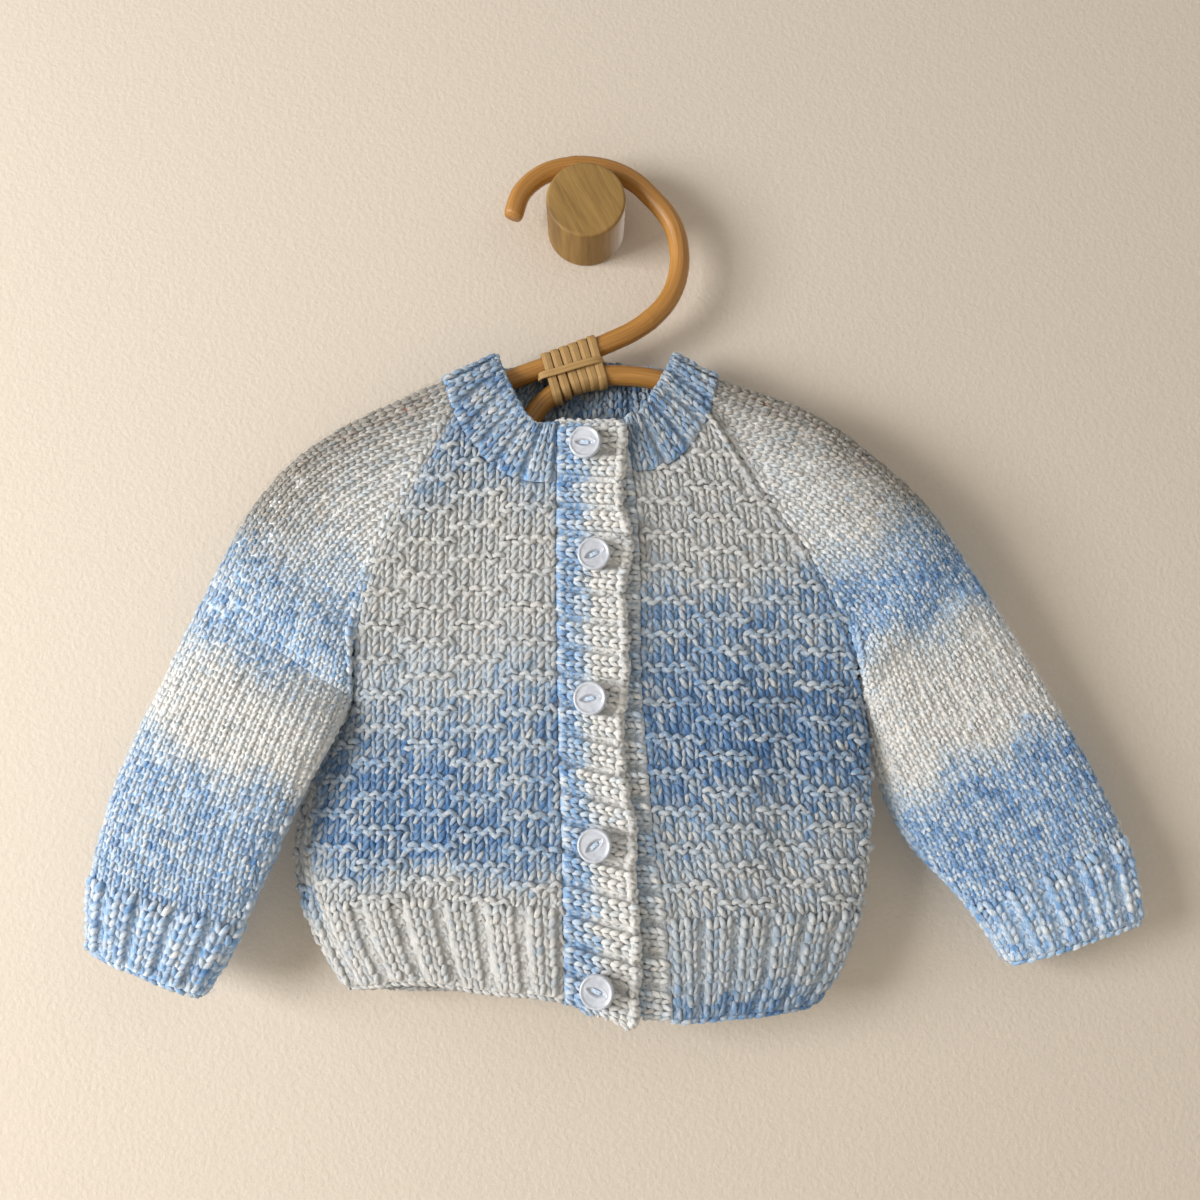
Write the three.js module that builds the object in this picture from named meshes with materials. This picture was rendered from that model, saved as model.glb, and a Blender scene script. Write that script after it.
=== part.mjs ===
// A hand-knitted newborn's raglan cardigan on a cane hanger, hooked over a round wooden wall peg.
// Millimetres, +Z up, +X to the viewer's right, the wall is the plane Y = 0 and the front faces -Y.
// The origin is the middle of the peg's flat back.
import * as THREE from 'three';

// Driving dimensions of the cloth
const wall = 2.4;
const seamGap = 0.3;
const seamTrim = 0.15;
const raglanShift = 0.12;
const ribRise = 1.2;
const bandWidth = 25;
const bandLift = 4.5;
const bandLiftRange = { from: -46, to: -16 };
const bandRibs = 20;
const cuffRibs = 10;
const frontHemRibs = 6;
const backHemRibs = 16;
const neckRibs = 24;
const samplesPerRib = 3;
const underarmHeight = -200;
const leftHemHeight = -305.5;
const rightHemHeight = -311;
const neckHeight = { buttonholeSide: -119, buttonSide: -113 };
const backNeckDip = 3;
const backNeckRise = 6;
const necklineCurve = 2.75;
const middle = 9;
const foldShape = { left: 2.2, right: 2.7, sleeve: 2.8 };
const ridgeDepth = -15;
const ridgeReach = 26;

// Driving dimensions of the hard pieces
const rodRadius = 4.1;
const rodDepth = -15;
const rodClearance = 1;
const bindingWall = 1.5;
const bindingClearance = 0.8;
const bindingSlope = 21;
const rodSpacing = 8.6;
const pegRadius = 16;
const pegLength = 27;
const pegEdgeEase = 1.2;
const buttonRadius = 6.25;
const buttonThickness = 3;

// Rows of the yoke, from the neck (1) to the underarm (0), and of the body, from there to the hem (1)
const yokeRows = [1, 0.82, 0.64, 0.46, 0.3, 0.17, 0.07];
const bodyRows = [0, 0.06, 0.14, 0.3, 0.5, 0.71, 0.75, 1];
const sleeveRows = [0, 0.07, 0.16, 0.32, 0.54, 0.78, 0.83, 1];
const hemRibStart = 0.71;
const cuffRibStart = 0.78;

// The body below the underarm: its side edges, the depth of each side fold, and how far the back
// panel wraps forward past the left fold
const bodyOutline = [
  { down: 0.0, left: -87.7, right: 105.7, leftFold: -17, rightFold: -17, wrap: 0 },
  { down: 0.05, left: -89.8, right: 106.5, leftFold: -14.5, rightFold: -18.5, wrap: 1.5 },
  { down: 0.1, left: -93.5, right: 107.2, leftFold: -12, rightFold: -19.5, wrap: 4 },
  { down: 0.16, left: -99, right: 107.5, leftFold: -10, rightFold: -20, wrap: 7 },
  { down: 0.28, left: -105, right: 107.5, leftFold: -9, rightFold: -20.5, wrap: 10 },
  { down: 0.42, left: -108.5, right: 107, leftFold: -9, rightFold: -20.5, wrap: 12 },
  { down: 0.55, left: -110, right: 105.5, leftFold: -9.5, rightFold: -20, wrap: 13 },
  { down: 0.68, left: -107, right: 102.8, leftFold: -11, rightFold: -19, wrap: 12 },
  { down: 0.8, left: -101.3, right: 98.7, leftFold: -12.5, rightFold: -18, wrap: 10 },
  { down: 0.9, left: -94.5, right: 94, leftFold: -13.5, rightFold: -17.5, wrap: 8 },
  { down: 1.0, left: -87.5, right: 85, leftFold: -14, rightFold: -17, wrap: 7 },
];

// How deep the front and back lie at each height
const depths = [
  { height: -317, front: -29.5, back: -6 },
  { height: -290, front: -30, back: -6 },
  { height: -277, front: -31.5, back: -4.5 },
  { height: -250, front: -32.5, back: -3.6 },
  { height: -200, front: -31.5, back: -4 },
  { height: -160, front: -31, back: -4.5 },
  { height: -120, front: -30, back: -5 },
  { height: -90, front: -29, back: -5.5 },
];

// How far the front hem rises and dips from a level line between the two side folds
const frontHem = [
  { x: -88, rise: 0 },
  { x: -62, rise: 4 },
  { x: -37, rise: 2.5 },
  { x: -10, rise: 1.5 },
  { x: 16, rise: -6 },
  { x: 34, rise: -5.5 },
  { x: 60, rise: -3 },
  { x: 86, rise: 0 },
];

// The raglan seams: where they run seen from the front, and their depth on the front and the back
const leftRaglan = [
  { up: 0, x: -88, z: -200, front: -17, back: -17 },
  { up: 0.12, x: -87, z: -187, front: -27, back: -8.5 },
  { up: 0.25, x: -85, z: -172, front: -29.5, back: -5.5 },
  { up: 0.5, x: -79, z: -147, front: -30, back: -5 },
  { up: 0.75, x: -67, z: -121, front: -28.5, back: -5.5 },
  { up: 1, x: -51, z: -90, front: -26, back: -6.5 },
];
const rightRaglan = [
  { up: 0, x: 106, z: -200, front: -17, back: -17 },
  { up: 0.12, x: 103, z: -187, front: -27, back: -8.5 },
  { up: 0.25, x: 99, z: -173, front: -29.5, back: -5.5 },
  { up: 0.5, x: 87, z: -148, front: -30, back: -5 },
  { up: 0.75, x: 70, z: -122, front: -28.5, back: -5.5 },
  { up: 1, x: 49, z: -88, front: -26, back: -6.5 },
];

// The fold along the top of each shoulder, above the hanger's arm
const leftRidge = [
  { up: 0, x: -148, z: -162 },
  { up: 0.25, x: -133, z: -131 },
  { up: 0.5, x: -116, z: -108 },
  { up: 0.75, x: -93, z: -91 },
  { up: 1, x: -57, z: -73 },
];
const rightRidge = [
  { up: 0, x: 152, z: -151 },
  { up: 0.25, x: 136, z: -126 },
  { up: 0.5, x: 114, z: -104 },
  { up: 0.75, x: 88, z: -85 },
  { up: 1, x: 53, z: -72 },
];

// The sleeves below the underarm: outer fold, inner fold, half thickness, and the depth of both folds
const leftSleeve = [
  { down: 0, outX: -148, outZ: -162, inX: -88.3, inZ: -199.7, half: 13, outY: -15.5, inY: -17 },
  { down: 0.2, outX: -159, outZ: -191, inX: -94.5, inZ: -217, half: 11.5, outY: -19, inY: -26 },
  { down: 0.42, outX: -169, outZ: -217, inX: -105, inZ: -238, half: 10.5, outY: -22, inY: -27 },
  { down: 0.62, outX: -177, outZ: -243, inX: -115, inZ: -262, half: 10, outY: -23, inY: -26 },
  { down: 0.81, outX: -181, outZ: -269, inX: -126, inZ: -287, half: 9, outY: -23, inY: -25 },
  { down: 1, outX: -180, outZ: -290, inX: -137, inZ: -306.5, half: 8.5, outY: -22, inY: -24 },
];
const rightSleeve = [
  { down: 0, outX: 152, outZ: -151, inX: 106.3, inZ: -199.7, half: 13, outY: -15.5, inY: -17 },
  { down: 0.2, outX: 169, outZ: -179, inX: 110, inZ: -222, half: 11, outY: -14.5, inY: -13.5 },
  { down: 0.42, outX: 183, outZ: -204, inX: 119.5, inZ: -248, half: 9.5, outY: -14, inY: -13 },
  { down: 0.62, outX: 196, outZ: -230, inX: 132, inZ: -264, half: 9, outY: -14, inY: -13 },
  { down: 0.81, outX: 206, outZ: -256, inX: 147, inZ: -280, half: 8.5, outY: -14, inY: -13.5 },
  { down: 1, outX: 209, outZ: -281, inX: 158, inZ: -297, half: 8.5, outY: -14, inY: -14 },
];

// The top edge of the neckband. Its marks are 0 at the buttonhole band, 1 and 6 at the front raglans,
// 2 and 5 at the shoulder ridges, 3 and 4 at the back raglans, and 7 at the button band
const neckTop = [
  { mark: 0, x: -11, y: -35.4, z: -97 },
  { mark: 0.4, x: -20.5, y: -33.5, z: -96 },
  { mark: 0.7, x: -27, y: -29.5, z: -87 },
  { mark: 1, x: -33, y: -24, z: -73 },
  { mark: 2, x: -37, y: -15.5, z: -61.5 },
  { mark: 3, x: -34.5, y: -8.5, z: -66.5 },
  { mark: 3.25, x: -20, y: -5.8, z: -65 },
  { mark: 3.5, x: 2, y: -5, z: -62.5 },
  { mark: 3.75, x: 21, y: -5.8, z: -64.5 },
  { mark: 4, x: 34.5, y: -8.5, z: -66.5 },
  { mark: 5, x: 37, y: -15.5, z: -61 },
  { mark: 6, x: 32, y: -24, z: -73 },
  { mark: 6.3, x: 27, y: -28, z: -82 },
  { mark: 6.6, x: 23, y: -30, z: -89.5 },
  { mark: 7, x: 15, y: -30.8, z: -93 },
];

// Both front bands: the seam of each one, and the free edge of the upper one
const buttonholeSeam = [
  { height: -317, x: -7 },
  { height: -266, x: -8 },
  { height: -208, x: -10 },
  { height: -149, x: -11 },
  { height: -97, x: -11 },
];
const buttonSeam = [
  { height: -317, x: 32 },
  { height: -299, x: 31 },
  { height: -274, x: 29 },
  { height: -257, x: 26 },
  { height: -222, x: 23 },
  { height: -190, x: 21 },
  { height: -154, x: 21 },
  { height: -130, x: 20 },
  { height: -108, x: 17.5 },
  { height: -93, x: 15 },
];
const freeEdge = [
  { height: -317, x: 17 },
  { height: -290, x: 18 },
  { height: -273, x: 17 },
  { height: -261, x: 16 },
  { height: -248, x: 17 },
  { height: -236, x: 14 },
  { height: -213, x: 12 },
  { height: -195, x: 14 },
  { height: -177, x: 14 },
  { height: -159, x: 13 },
  { height: -149, x: 15 },
  { height: -140, x: 16 },
  { height: -126, x: 12 },
  { height: -113, x: 13 },
  { height: -95, x: 14 },
];
const bandTop = { buttonhole: -96, button: -93 };
const bandBottom = { seamSide: -308, freeSide: -317, buttonSeam: -315.5, buttonFree: -312 };

// Soft folds that hang in the front (-1) and the back (1): a ridge is positive, a trough negative
const folds = [
  { side: -1, x: -74, lean: 0.1, top: -150, bottom: -290, width: 9, depth: -1.8 },
  { side: -1, x: -48, lean: 0.05, top: -190, bottom: -285, width: 12, depth: 1.2 },
  { side: -1, x: 58, lean: -0.06, top: -160, bottom: -290, width: 12, depth: 1.5 },
  { side: -1, x: 82, lean: -0.1, top: -170, bottom: -285, width: 8, depth: -1.6 },
  { side: 1, x: -58, lean: 0.08, top: -170, bottom: -285, width: 12, depth: 1 },
  { side: 1, x: 8, lean: 0.02, top: -150, bottom: -290, width: 14, depth: -1.4 },
  { side: 1, x: 66, lean: -0.06, top: -165, bottom: -290, width: 11, depth: 0.9 },
];

// Buttons: place on the band, how far the eye is turned, and how the disc tips
const buttonPlaces = [
  { x: 0.2, z: -104.5, turn: -5, tip: 12 },
  { x: 3.4, z: -147.2, turn: 25, tip: 6 },
  { x: 2.2, z: -200.9, turn: 10, tip: 12 },
  { x: 3.7, z: -253.3, turn: 40, tip: 9 },
  { x: 4.7, z: -303.8, turn: -20, tip: 13 },
];

// The cane from the hook's cut end over the peg and down to the binding
const hookRoute = [
  { x: -30, z: -2 },
  { x: -26.5, z: 8.5 },
  { x: -19, z: 16 },
  { x: -10, z: 19.6 },
  { x: 1, z: 20.5 },
  { x: 12, z: 18.1 },
  { x: 21, z: 13 },
  { x: 27, z: 7 },
  { x: 32.5, z: 0.5 },
  { x: 36.3, z: -6.5 },
  { x: 38, z: -14 },
  { x: 38.3, z: -22 },
  { x: 36.5, z: -31 },
  { x: 32.5, z: -39 },
  { x: 26, z: -46 },
  { x: 18.5, z: -51.3 },
  { x: 11, z: -55 },
  { x: 3, z: -58.6 },
  { x: -6, z: -62.3 },
  { x: -15.5, z: -66 },
  { x: -25, z: -69.6 },
  { x: -33, z: -72.8 },
  { x: -42, z: -76.5 },
];
// The cane's last stretch, from the neck's right side under the binding to its cut end
const stubRoute = [
  { x: 40, z: -74.3 },
  { x: 29, z: -71.3 },
  { x: 19, z: -69.9 },
  { x: 9, z: -69.7 },
  { x: 1, z: -70.6 },
  { x: -5, z: -72.6 },
  { x: -11, z: -76.2 },
  { x: -16.5, z: -80.8 },
  { x: -21, z: -86.5 },
  { x: -24, z: -92 },
];
const barHeight = -128;
const barPlaces = [-50, -14, 22, 58];
const armPlaces = [0.94, 0.86, 0.77, 0.68, 0.6];
const armEnds = { left: -108.5, right: 115.5 };
const endBend = 10;
const bindingRange = { from: 4.5, to: -16.5 };

const point = (x, y, z) => new THREE.Vector3(x, y, z);
const mix = (a, b, share) => a + (b - a) * share;
const rad = (degrees) => (degrees * Math.PI) / 180;

function ease(from, to, value) {
  const share = Math.min(1, Math.max(0, (value - from) / (to - from)));
  return share * share * (3 - 2 * share);
}

// Every named column of a table at one value of its key column, on a smooth curve through the rows
function read(table, key, value) {
  const last = table.length - 1;
  const at = Math.min(table[last][key], Math.max(table[0][key], value));
  let row = 0;
  while (row < last - 1 && table[row + 1][key] < at) row += 1;
  const [a, b] = [table[row], table[row + 1]];
  const [before, after] = [table[Math.max(0, row - 1)], table[Math.min(last, row + 2)]];
  const span = b[key] - a[key];
  const s = (at - a[key]) / span;
  const result = {};
  for (const column of Object.keys(a)) {
    const rise = b[column] - a[column];
    const slopeA = ((b[column] - before[column]) / (b[key] - before[key])) * span;
    const slopeB = ((after[column] - a[column]) / (after[key] - a[key])) * span;
    const bend = (1 - s) * (slopeA - rise) - s * (slopeB - rise);
    result[column] = a[column] + rise * s + s * (1 - s) * bend;
  }
  return result;
}

function lengths(points) {
  const run = [0];
  for (let i = 1; i < points.length; i += 1) run.push(run[i - 1] + points[i].distanceTo(points[i - 1]));
  return run;
}

function pointAt(points, run, distance) {
  let i = 1;
  while (i < points.length - 1 && run[i] < distance) i += 1;
  return points[i - 1].clone().lerp(points[i], (distance - run[i - 1]) / (run[i] - run[i - 1]));
}

// Points at even steps along a curve, trimmed at its two ends
function spread(points, steps, trimStart = 0, trimEnd = 0) {
  const run = lengths(points);
  const total = run[run.length - 1] - trimStart - trimEnd;
  const even = [];
  for (let i = 0; i <= steps; i += 1) even.push(pointAt(points, run, trimStart + (total * i) / steps));
  return even;
}

function foldShift(side, x, z) {
  let shift = 0;
  for (const fold of folds.filter((row) => row.side === side)) {
    const off = (x - fold.x - fold.lean * (fold.top - z)) / fold.width;
    const along = ease(fold.top, fold.top - 40, z) * (1 - ease(fold.bottom + 35, fold.bottom, z));
    shift += fold.depth * along * Math.exp(-off * off);
  }
  return shift * side;
}

// One half of a row of the body, from a given x out to its side edge. The row's edge has the depth
// of the fold or seam there, and it bends to the depth of the panel's middle
function halfRow(side, edge, edgeDepth, panelDepth, fromX, heightAt) {
  const shape = edge < middle ? foldShape.left : foldShape.right;
  const reach = edge - middle;
  const start = Math.acos(Math.min(1, Math.max(0, (fromX - middle) / reach)) ** (shape / 2));
  const steps = 60;
  const points = [];
  for (let i = 0; i <= steps; i += 1) {
    const angle = start * (1 - i / steps);
    const x = middle + reach * Math.abs(Math.cos(angle)) ** (2 / shape);
    const bulge = Math.abs(Math.sin(angle)) ** (2 / shape);
    const z = heightAt(x);
    points.push(point(x, edgeDepth + (panelDepth + foldShift(side, x, z) - edgeDepth) * bulge, z));
  }
  return points;
}

// The upper front band lies on the lower one, so the cloth beside it comes forward
function lifted(points) {
  return points.map((p) => point(p.x, p.y - bandLift * ease(bandLiftRange.from, bandLiftRange.to, p.x), p.z));
}

function bodyHeight(down, outline, front) {
  return (x) => {
    const share = (x - outline.left) / (outline.right - outline.left);
    const level = mix(leftHemHeight, rightHemHeight, share);
    const rise = front ? read(frontHem, 'x', x).rise : 0;
    return mix(underarmHeight, level, down) + rise * down * down;
  };
}

function frontBodyRow(down, leftSide) {
  const outline = read(bodyOutline, 'down', down);
  const heightAt = bodyHeight(down, outline, true);
  const depth = read(depths, 'height', heightAt(middle)).front;
  if (leftSide) {
    const fromX = read(buttonholeSeam, 'height', heightAt(-9)).x;
    return lifted(halfRow(-1, outline.left, outline.leftFold, depth, fromX, heightAt));
  }
  const fromX = read(buttonSeam, 'height', heightAt(25)).x;
  return halfRow(-1, outline.right, outline.rightFold, depth, fromX, heightAt);
}

// A raglan seam, moved a little towards the body or the sleeve that ends there
function raglanAt(up, leftSide, towardsSleeve) {
  const seam = read(leftSide ? leftRaglan : rightRaglan, 'up', up);
  const outwards = leftSide ? -1 : 1;
  return { ...seam, x: seam.x + raglanShift * outwards * (towardsSleeve ? 1 : -1) };
}

function frontYokeRow(up, leftSide) {
  const seam = raglanAt(up, leftSide, false);
  const neck = leftSide ? neckHeight.buttonholeSide : neckHeight.buttonSide;
  const bandHeight = mix(underarmHeight, neck, up);
  const fromX = read(leftSide ? buttonholeSeam : buttonSeam, 'height', bandHeight).x;
  const power = mix(1, necklineCurve, up);
  const heightAt = (x) => mix(bandHeight, seam.z, Math.min(1, Math.max(0, (x - fromX) / (seam.x - fromX))) ** power);
  const depth = read(depths, 'height', bandHeight).front;
  const row = halfRow(-1, seam.x, seam.front, depth, fromX, heightAt);
  return leftSide ? lifted(row) : row;
}

function backYokeRow(up) {
  const left = raglanAt(up, true, false);
  const right = raglanAt(up, false, false);
  const heightAt = (x) => {
    const share = (x - left.x) / (right.x - left.x);
    const dip = 4 * share * (1 - share) * backNeckDip * up * up;
    return mix(left.z, right.z, share) + backNeckRise * up * up - dip;
  };
  const depth = read(depths, 'height', heightAt(middle)).back;
  const leftHalf = halfRow(1, left.x, left.back, depth, middle, heightAt);
  const rightHalf = halfRow(1, right.x, right.back, depth, middle, heightAt);
  return [...leftHalf.reverse(), ...rightHalf.slice(1)];
}

function backBodyRow(down) {
  const outline = read(bodyOutline, 'down', down);
  const heightAt = bodyHeight(down, outline, false);
  const depth = read(depths, 'height', heightAt(middle)).back;
  const leftHalf = halfRow(1, outline.left, outline.leftFold, depth, middle, heightAt);
  const rightHalf = halfRow(1, outline.right, outline.rightFold, depth, middle, heightAt);
  const front = frontBodyRow(down, true);
  const run = lengths(front);
  const total = run[run.length - 1];
  const wrapped = front.filter((p, i) => total - run[i] < outline.wrap);
  const start = outline.wrap > 0 ? [pointAt(front, run, total - outline.wrap)] : [];
  return [...start, ...wrapped.slice(0, -1), ...leftHalf.reverse(), ...rightHalf.slice(1)];
}

// A row of a sleeve, from its front edge over the outer fold to its back edge
function sleeveRow(outer, frontEdge, backEdge, half, open) {
  const steps = 50;
  const power = foldShape.sleeve;
  const side = (edge, sign) => {
    const points = [];
    const width = Math.hypot(edge.x - outer.x, edge.z - outer.z);
    const quicken = width / Math.min(width, ridgeReach);
    for (let i = 0; i <= steps; i += 1) {
      const a = (1 - Math.cos((Math.PI * i) / steps)) / 2;
      const shut = (1 - Math.abs(2 * a - 1) ** power) ** (1 / power);
      const wide = (1 - (1 - Math.min(1, a * quicken)) ** power) ** (1 / power);
      const toEdge = edge.y - outer.y;
      const depth = open * toEdge * wide + (1 - open) * (sign * half * shut + toEdge * a);
      points.push(point(mix(outer.x, edge.x, a), outer.y + depth, mix(outer.z, edge.z, a)));
    }
    return points;
  };
  return { front: side(frontEdge, -1).reverse(), back: side(backEdge, 1) };
}

function sleeveYokeRow(up, leftSide, ridge, half) {
  const seam = raglanAt(up, leftSide, true);
  const top = read(ridge, 'up', up);
  const frontEdge = point(seam.x, seam.front, seam.z);
  const backEdge = point(seam.x, seam.back, seam.z + backNeckRise * up * up);
  return sleeveRow(point(top.x, ridgeDepth, top.z), frontEdge, backEdge, half, ease(0, 0.3, up));
}

function sleeveLowerRow(down, table) {
  const row = read(table, 'down', down);
  const inner = point(row.inX, row.inY, row.inZ);
  return sleeveRow(point(row.outX, row.outY, row.outZ), inner, inner, row.half, 0);
}

// Outward directions of a grid whose rows run down and whose columns run round the garment
function outwardOf(grid) {
  const lastRow = grid.length - 1;
  const lastColumn = grid[0].length - 1;
  return grid.map((row, r) => row.map((_, c) => {
    const across = row[Math.min(lastColumn, c + 1)].clone().sub(row[Math.max(0, c - 1)]);
    const down = grid[Math.min(lastRow, r + 1)][c].clone().sub(grid[Math.max(0, r - 1)][c]);
    return across.cross(down).normalize();
  }));
}

function shareOutward(a, b) {
  const shared = a.clone().add(b).normalize();
  a.copy(shared);
  b.copy(shared);
}

function panel(grid) {
  return { grid, outward: outwardOf(grid) };
}

// A closed wall on a grid of outer points: the inside is plain, and the outside rises by rise(r, c)
function wallMesh(name, { grid, outward }, thickness, rise, material) {
  const rows = grid.length;
  const columns = grid[0].length;
  const positions = [];
  for (let r = 0; r < rows; r += 1) {
    for (let c = 0; c < columns; c += 1) {
      positions.push(...grid[r][c].clone().addScaledVector(outward[r][c], rise(r, c)).toArray());
    }
  }
  for (let r = 0; r < rows; r += 1) {
    for (let c = 0; c < columns; c += 1) {
      positions.push(...grid[r][c].clone().addScaledVector(outward[r][c], -thickness).toArray());
    }
  }
  const outer = (r, c) => r * columns + c;
  const inner = (r, c) => rows * columns + r * columns + c;
  const faces = [];
  const quad = (a, b, c, d) => faces.push(a, b, c, a, c, d);
  for (let r = 0; r < rows - 1; r += 1) {
    for (let c = 0; c < columns - 1; c += 1) {
      quad(outer(r, c), outer(r, c + 1), outer(r + 1, c + 1), outer(r + 1, c));
      quad(inner(r, c), inner(r + 1, c), inner(r + 1, c + 1), inner(r, c + 1));
    }
  }
  for (let c = 0; c < columns - 1; c += 1) {
    quad(outer(0, c), inner(0, c), inner(0, c + 1), outer(0, c + 1));
    quad(outer(rows - 1, c), outer(rows - 1, c + 1), inner(rows - 1, c + 1), inner(rows - 1, c));
  }
  for (let r = 0; r < rows - 1; r += 1) {
    quad(outer(r, 0), outer(r + 1, 0), inner(r + 1, 0), inner(r, 0));
    quad(outer(r, columns - 1), inner(r, columns - 1), inner(r + 1, columns - 1), outer(r + 1, columns - 1));
  }
  const geometry = new THREE.BufferGeometry();
  geometry.setAttribute('position', new THREE.Float32BufferAttribute(positions, 3));
  geometry.setIndex(faces);
  geometry.computeVertexNormals();
  const mesh = new THREE.Mesh(geometry, material);
  mesh.name = name;
  return mesh;
}

// A knit-two purl-two rib: two samples high and one low, so the furrows are narrow
const ribAt = (step) => (step % samplesPerRib === 0 ? 0 : ribRise);

const wool = (colour) => new THREE.MeshStandardMaterial({ color: colour, roughness: 0.95, metalness: 0 });

// The panels' rows of points, neck first
const frontColumns = frontHemRibs * samplesPerRib;
const backColumns = backHemRibs * samplesPerRib;
const sleeveColumns = cuffRibs * samplesPerRib;

function frontGrid(leftSide) {
  const wrapAt = (down) => (leftSide ? read(bodyOutline, 'down', down).wrap : 0);
  const yoke = yokeRows.map((up) => spread(frontYokeRow(up, leftSide), frontColumns, seamTrim, seamTrim));
  const body = bodyRows.map((down) => {
    const trimEnd = wrapAt(down) + seamTrim;
    return spread(frontBodyRow(down, leftSide), frontColumns, seamTrim, trimEnd);
  });
  const rows = [...yoke, ...body];
  return leftSide ? rows : rows.map((row) => row.reverse());
}

function backGrid() {
  const yoke = yokeRows.map((up) => spread(backYokeRow(up), backColumns, seamTrim, seamTrim));
  const body = bodyRows.map((down) => spread(backBodyRow(down), backColumns, seamTrim, seamTrim));
  return [...yoke, ...body];
}

function sleeveGrid(leftSide) {
  const table = leftSide ? leftSleeve : rightSleeve;
  const ridge = leftSide ? leftRidge : rightRidge;
  const halfColumns = sleeveColumns / 2;
  const yoke = yokeRows.map((up) => sleeveYokeRow(up, leftSide, ridge, table[0].half));
  const lower = sleeveRows.map((down) => sleeveLowerRow(down, table));
  const rows = [...yoke, ...lower].map(({ front, back }) => [
    ...spread(front, halfColumns, seamTrim, 0),
    ...spread(back, halfColumns, 0, seamTrim).slice(1),
  ]);
  return leftSide ? rows : rows.map((row) => row.reverse());
}

const frontRight = panel(frontGrid(true));
const frontLeft = panel(frontGrid(false));
const back = panel(backGrid());
const sleeveRight = panel(sleeveGrid(true));
const sleeveLeft = panel(sleeveGrid(false));

// Neighbouring panels turn their seam edges the same way, so that the edges lie side by side
const lastOf = (row) => row[row.length - 1];
const yokeCount = yokeRows.length;
for (let r = 0; r < yokeCount; r += 1) {
  shareOutward(lastOf(frontRight.outward[r]), sleeveRight.outward[r][0]);
  shareOutward(lastOf(sleeveRight.outward[r]), back.outward[r][0]);
  shareOutward(lastOf(back.outward[r]), sleeveLeft.outward[r][0]);
  shareOutward(lastOf(sleeveLeft.outward[r]), frontLeft.outward[r][0]);
}
for (let r = yokeCount; r < yokeCount + bodyRows.length; r += 1) {
  shareOutward(lastOf(frontRight.outward[r]), back.outward[r][0]);
  shareOutward(lastOf(back.outward[r]), frontLeft.outward[r][0]);
}
for (const sleeve of [sleeveRight, sleeveLeft]) {
  for (let r = yokeCount; r < sleeve.grid.length; r += 1) {
    shareOutward(lastOf(sleeve.outward[r]), sleeve.outward[r][0]);
  }
}

// The neck seam as one curve round the neck, marked as the neckband's top edge is
const sleeveHalf = sleeveColumns / 2;
const neckSpans = [
  { panel: frontRight, from: 0, to: frontColumns },
  { panel: sleeveRight, from: 0, to: sleeveHalf },
  { panel: sleeveRight, from: sleeveHalf, to: sleeveColumns },
  { panel: back, from: 0, to: backColumns },
  { panel: sleeveLeft, from: 0, to: sleeveHalf },
  { panel: sleeveLeft, from: sleeveHalf, to: sleeveColumns },
  { panel: frontLeft, from: 0, to: frontColumns },
];

function neckSeam(mark) {
  const span = neckSpans[Math.min(neckSpans.length - 1, Math.floor(mark))];
  const column = mix(span.from, span.to, mark - Math.min(neckSpans.length - 1, Math.floor(mark)));
  const [low, high] = [Math.floor(column), Math.ceil(column)];
  const row = span.panel.grid[0];
  const outward = span.panel.outward[0];
  return {
    place: row[low].clone().lerp(row[high], column - low),
    outward: outward[low].clone().lerp(outward[high], column - low).normalize(),
  };
}

function neckbandPanel() {
  const fine = 700;
  const marks = Array.from({ length: fine + 1 }, (_, i) => (neckSpans.length * i) / fine);
  const topAt = (mark) => {
    const top = read(neckTop, 'mark', mark);
    return point(top.x, top.y, top.z);
  };
  const run = lengths(marks.map((mark) => topAt(mark).lerp(neckSeam(mark).place, 0.5)));
  const columns = neckRibs * samplesPerRib;
  const chosen = Array.from({ length: columns + 1 }, (_, i) => {
    const distance = (run[fine] * i) / columns;
    return marks[Math.max(0, run.findIndex((length) => length >= distance - 1e-6))];
  });
  const shares = [0, 1 / 3, 2 / 3, 1];
  const grid = shares.map((share) => chosen.map((mark) => topAt(mark).lerp(neckSeam(mark).place, share)));
  const made = panel(grid);
  const seamRow = shares.length - 1;
  chosen.forEach((mark, c) => shareOutward(made.outward[seamRow][c], neckSeam(mark).outward));
  return { ...made, chosen };
}

const neckband = neckbandPanel();

// The panels' neck edges take the direction that the neckband has there
neckSpans.forEach((span, index) => {
  const { chosen, outward } = neckband;
  const seamRow = outward[outward.length - 1];
  for (let column = span.from; column <= span.to; column += 1) {
    const mark = index + (column - span.from) / (span.to - span.from);
    const after = Math.max(1, chosen.findIndex((value) => value >= mark - 1e-9));
    const share = (mark - chosen[after - 1]) / (chosen[after] - chosen[after - 1]);
    span.panel.outward[0][column].copy(seamRow[after - 1]).lerp(seamRow[after], share).normalize();
  }
});

// Moves the edge row of a grid back from the neighbour that it meets
function drawBack(edge, next, distance) {
  edge.forEach((p, c) => p.add(next[c].clone().sub(p).setLength(distance)));
}
for (const piece of [frontRight, frontLeft, back, sleeveRight, sleeveLeft]) {
  drawBack(piece.grid[0], piece.grid[1], seamTrim);
}
const neckRows = neckband.grid.length;
drawBack(neckband.grid[neckRows - 1], neckband.grid[neckRows - 2], seamTrim);
neckband.grid.forEach((row) => {
  row[0].x -= seamTrim;
  row[row.length - 1].x += seamTrim;
});

// A front band: rows down the front, columns from the viewer's right to left
function edgeAt(edge, height) {
  let i = 1;
  while (i < edge.length - 1 && edge[i].z > height) i += 1;
  const [above, below] = [edge[i - 1], edge[i]];
  const share = Math.min(1, Math.max(0, (above.z - height) / (above.z - below.z)));
  return above.clone().lerp(below, share);
}

const bandSteps = bandRibs * samplesPerRib;
const bandColumns = 2;

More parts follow.
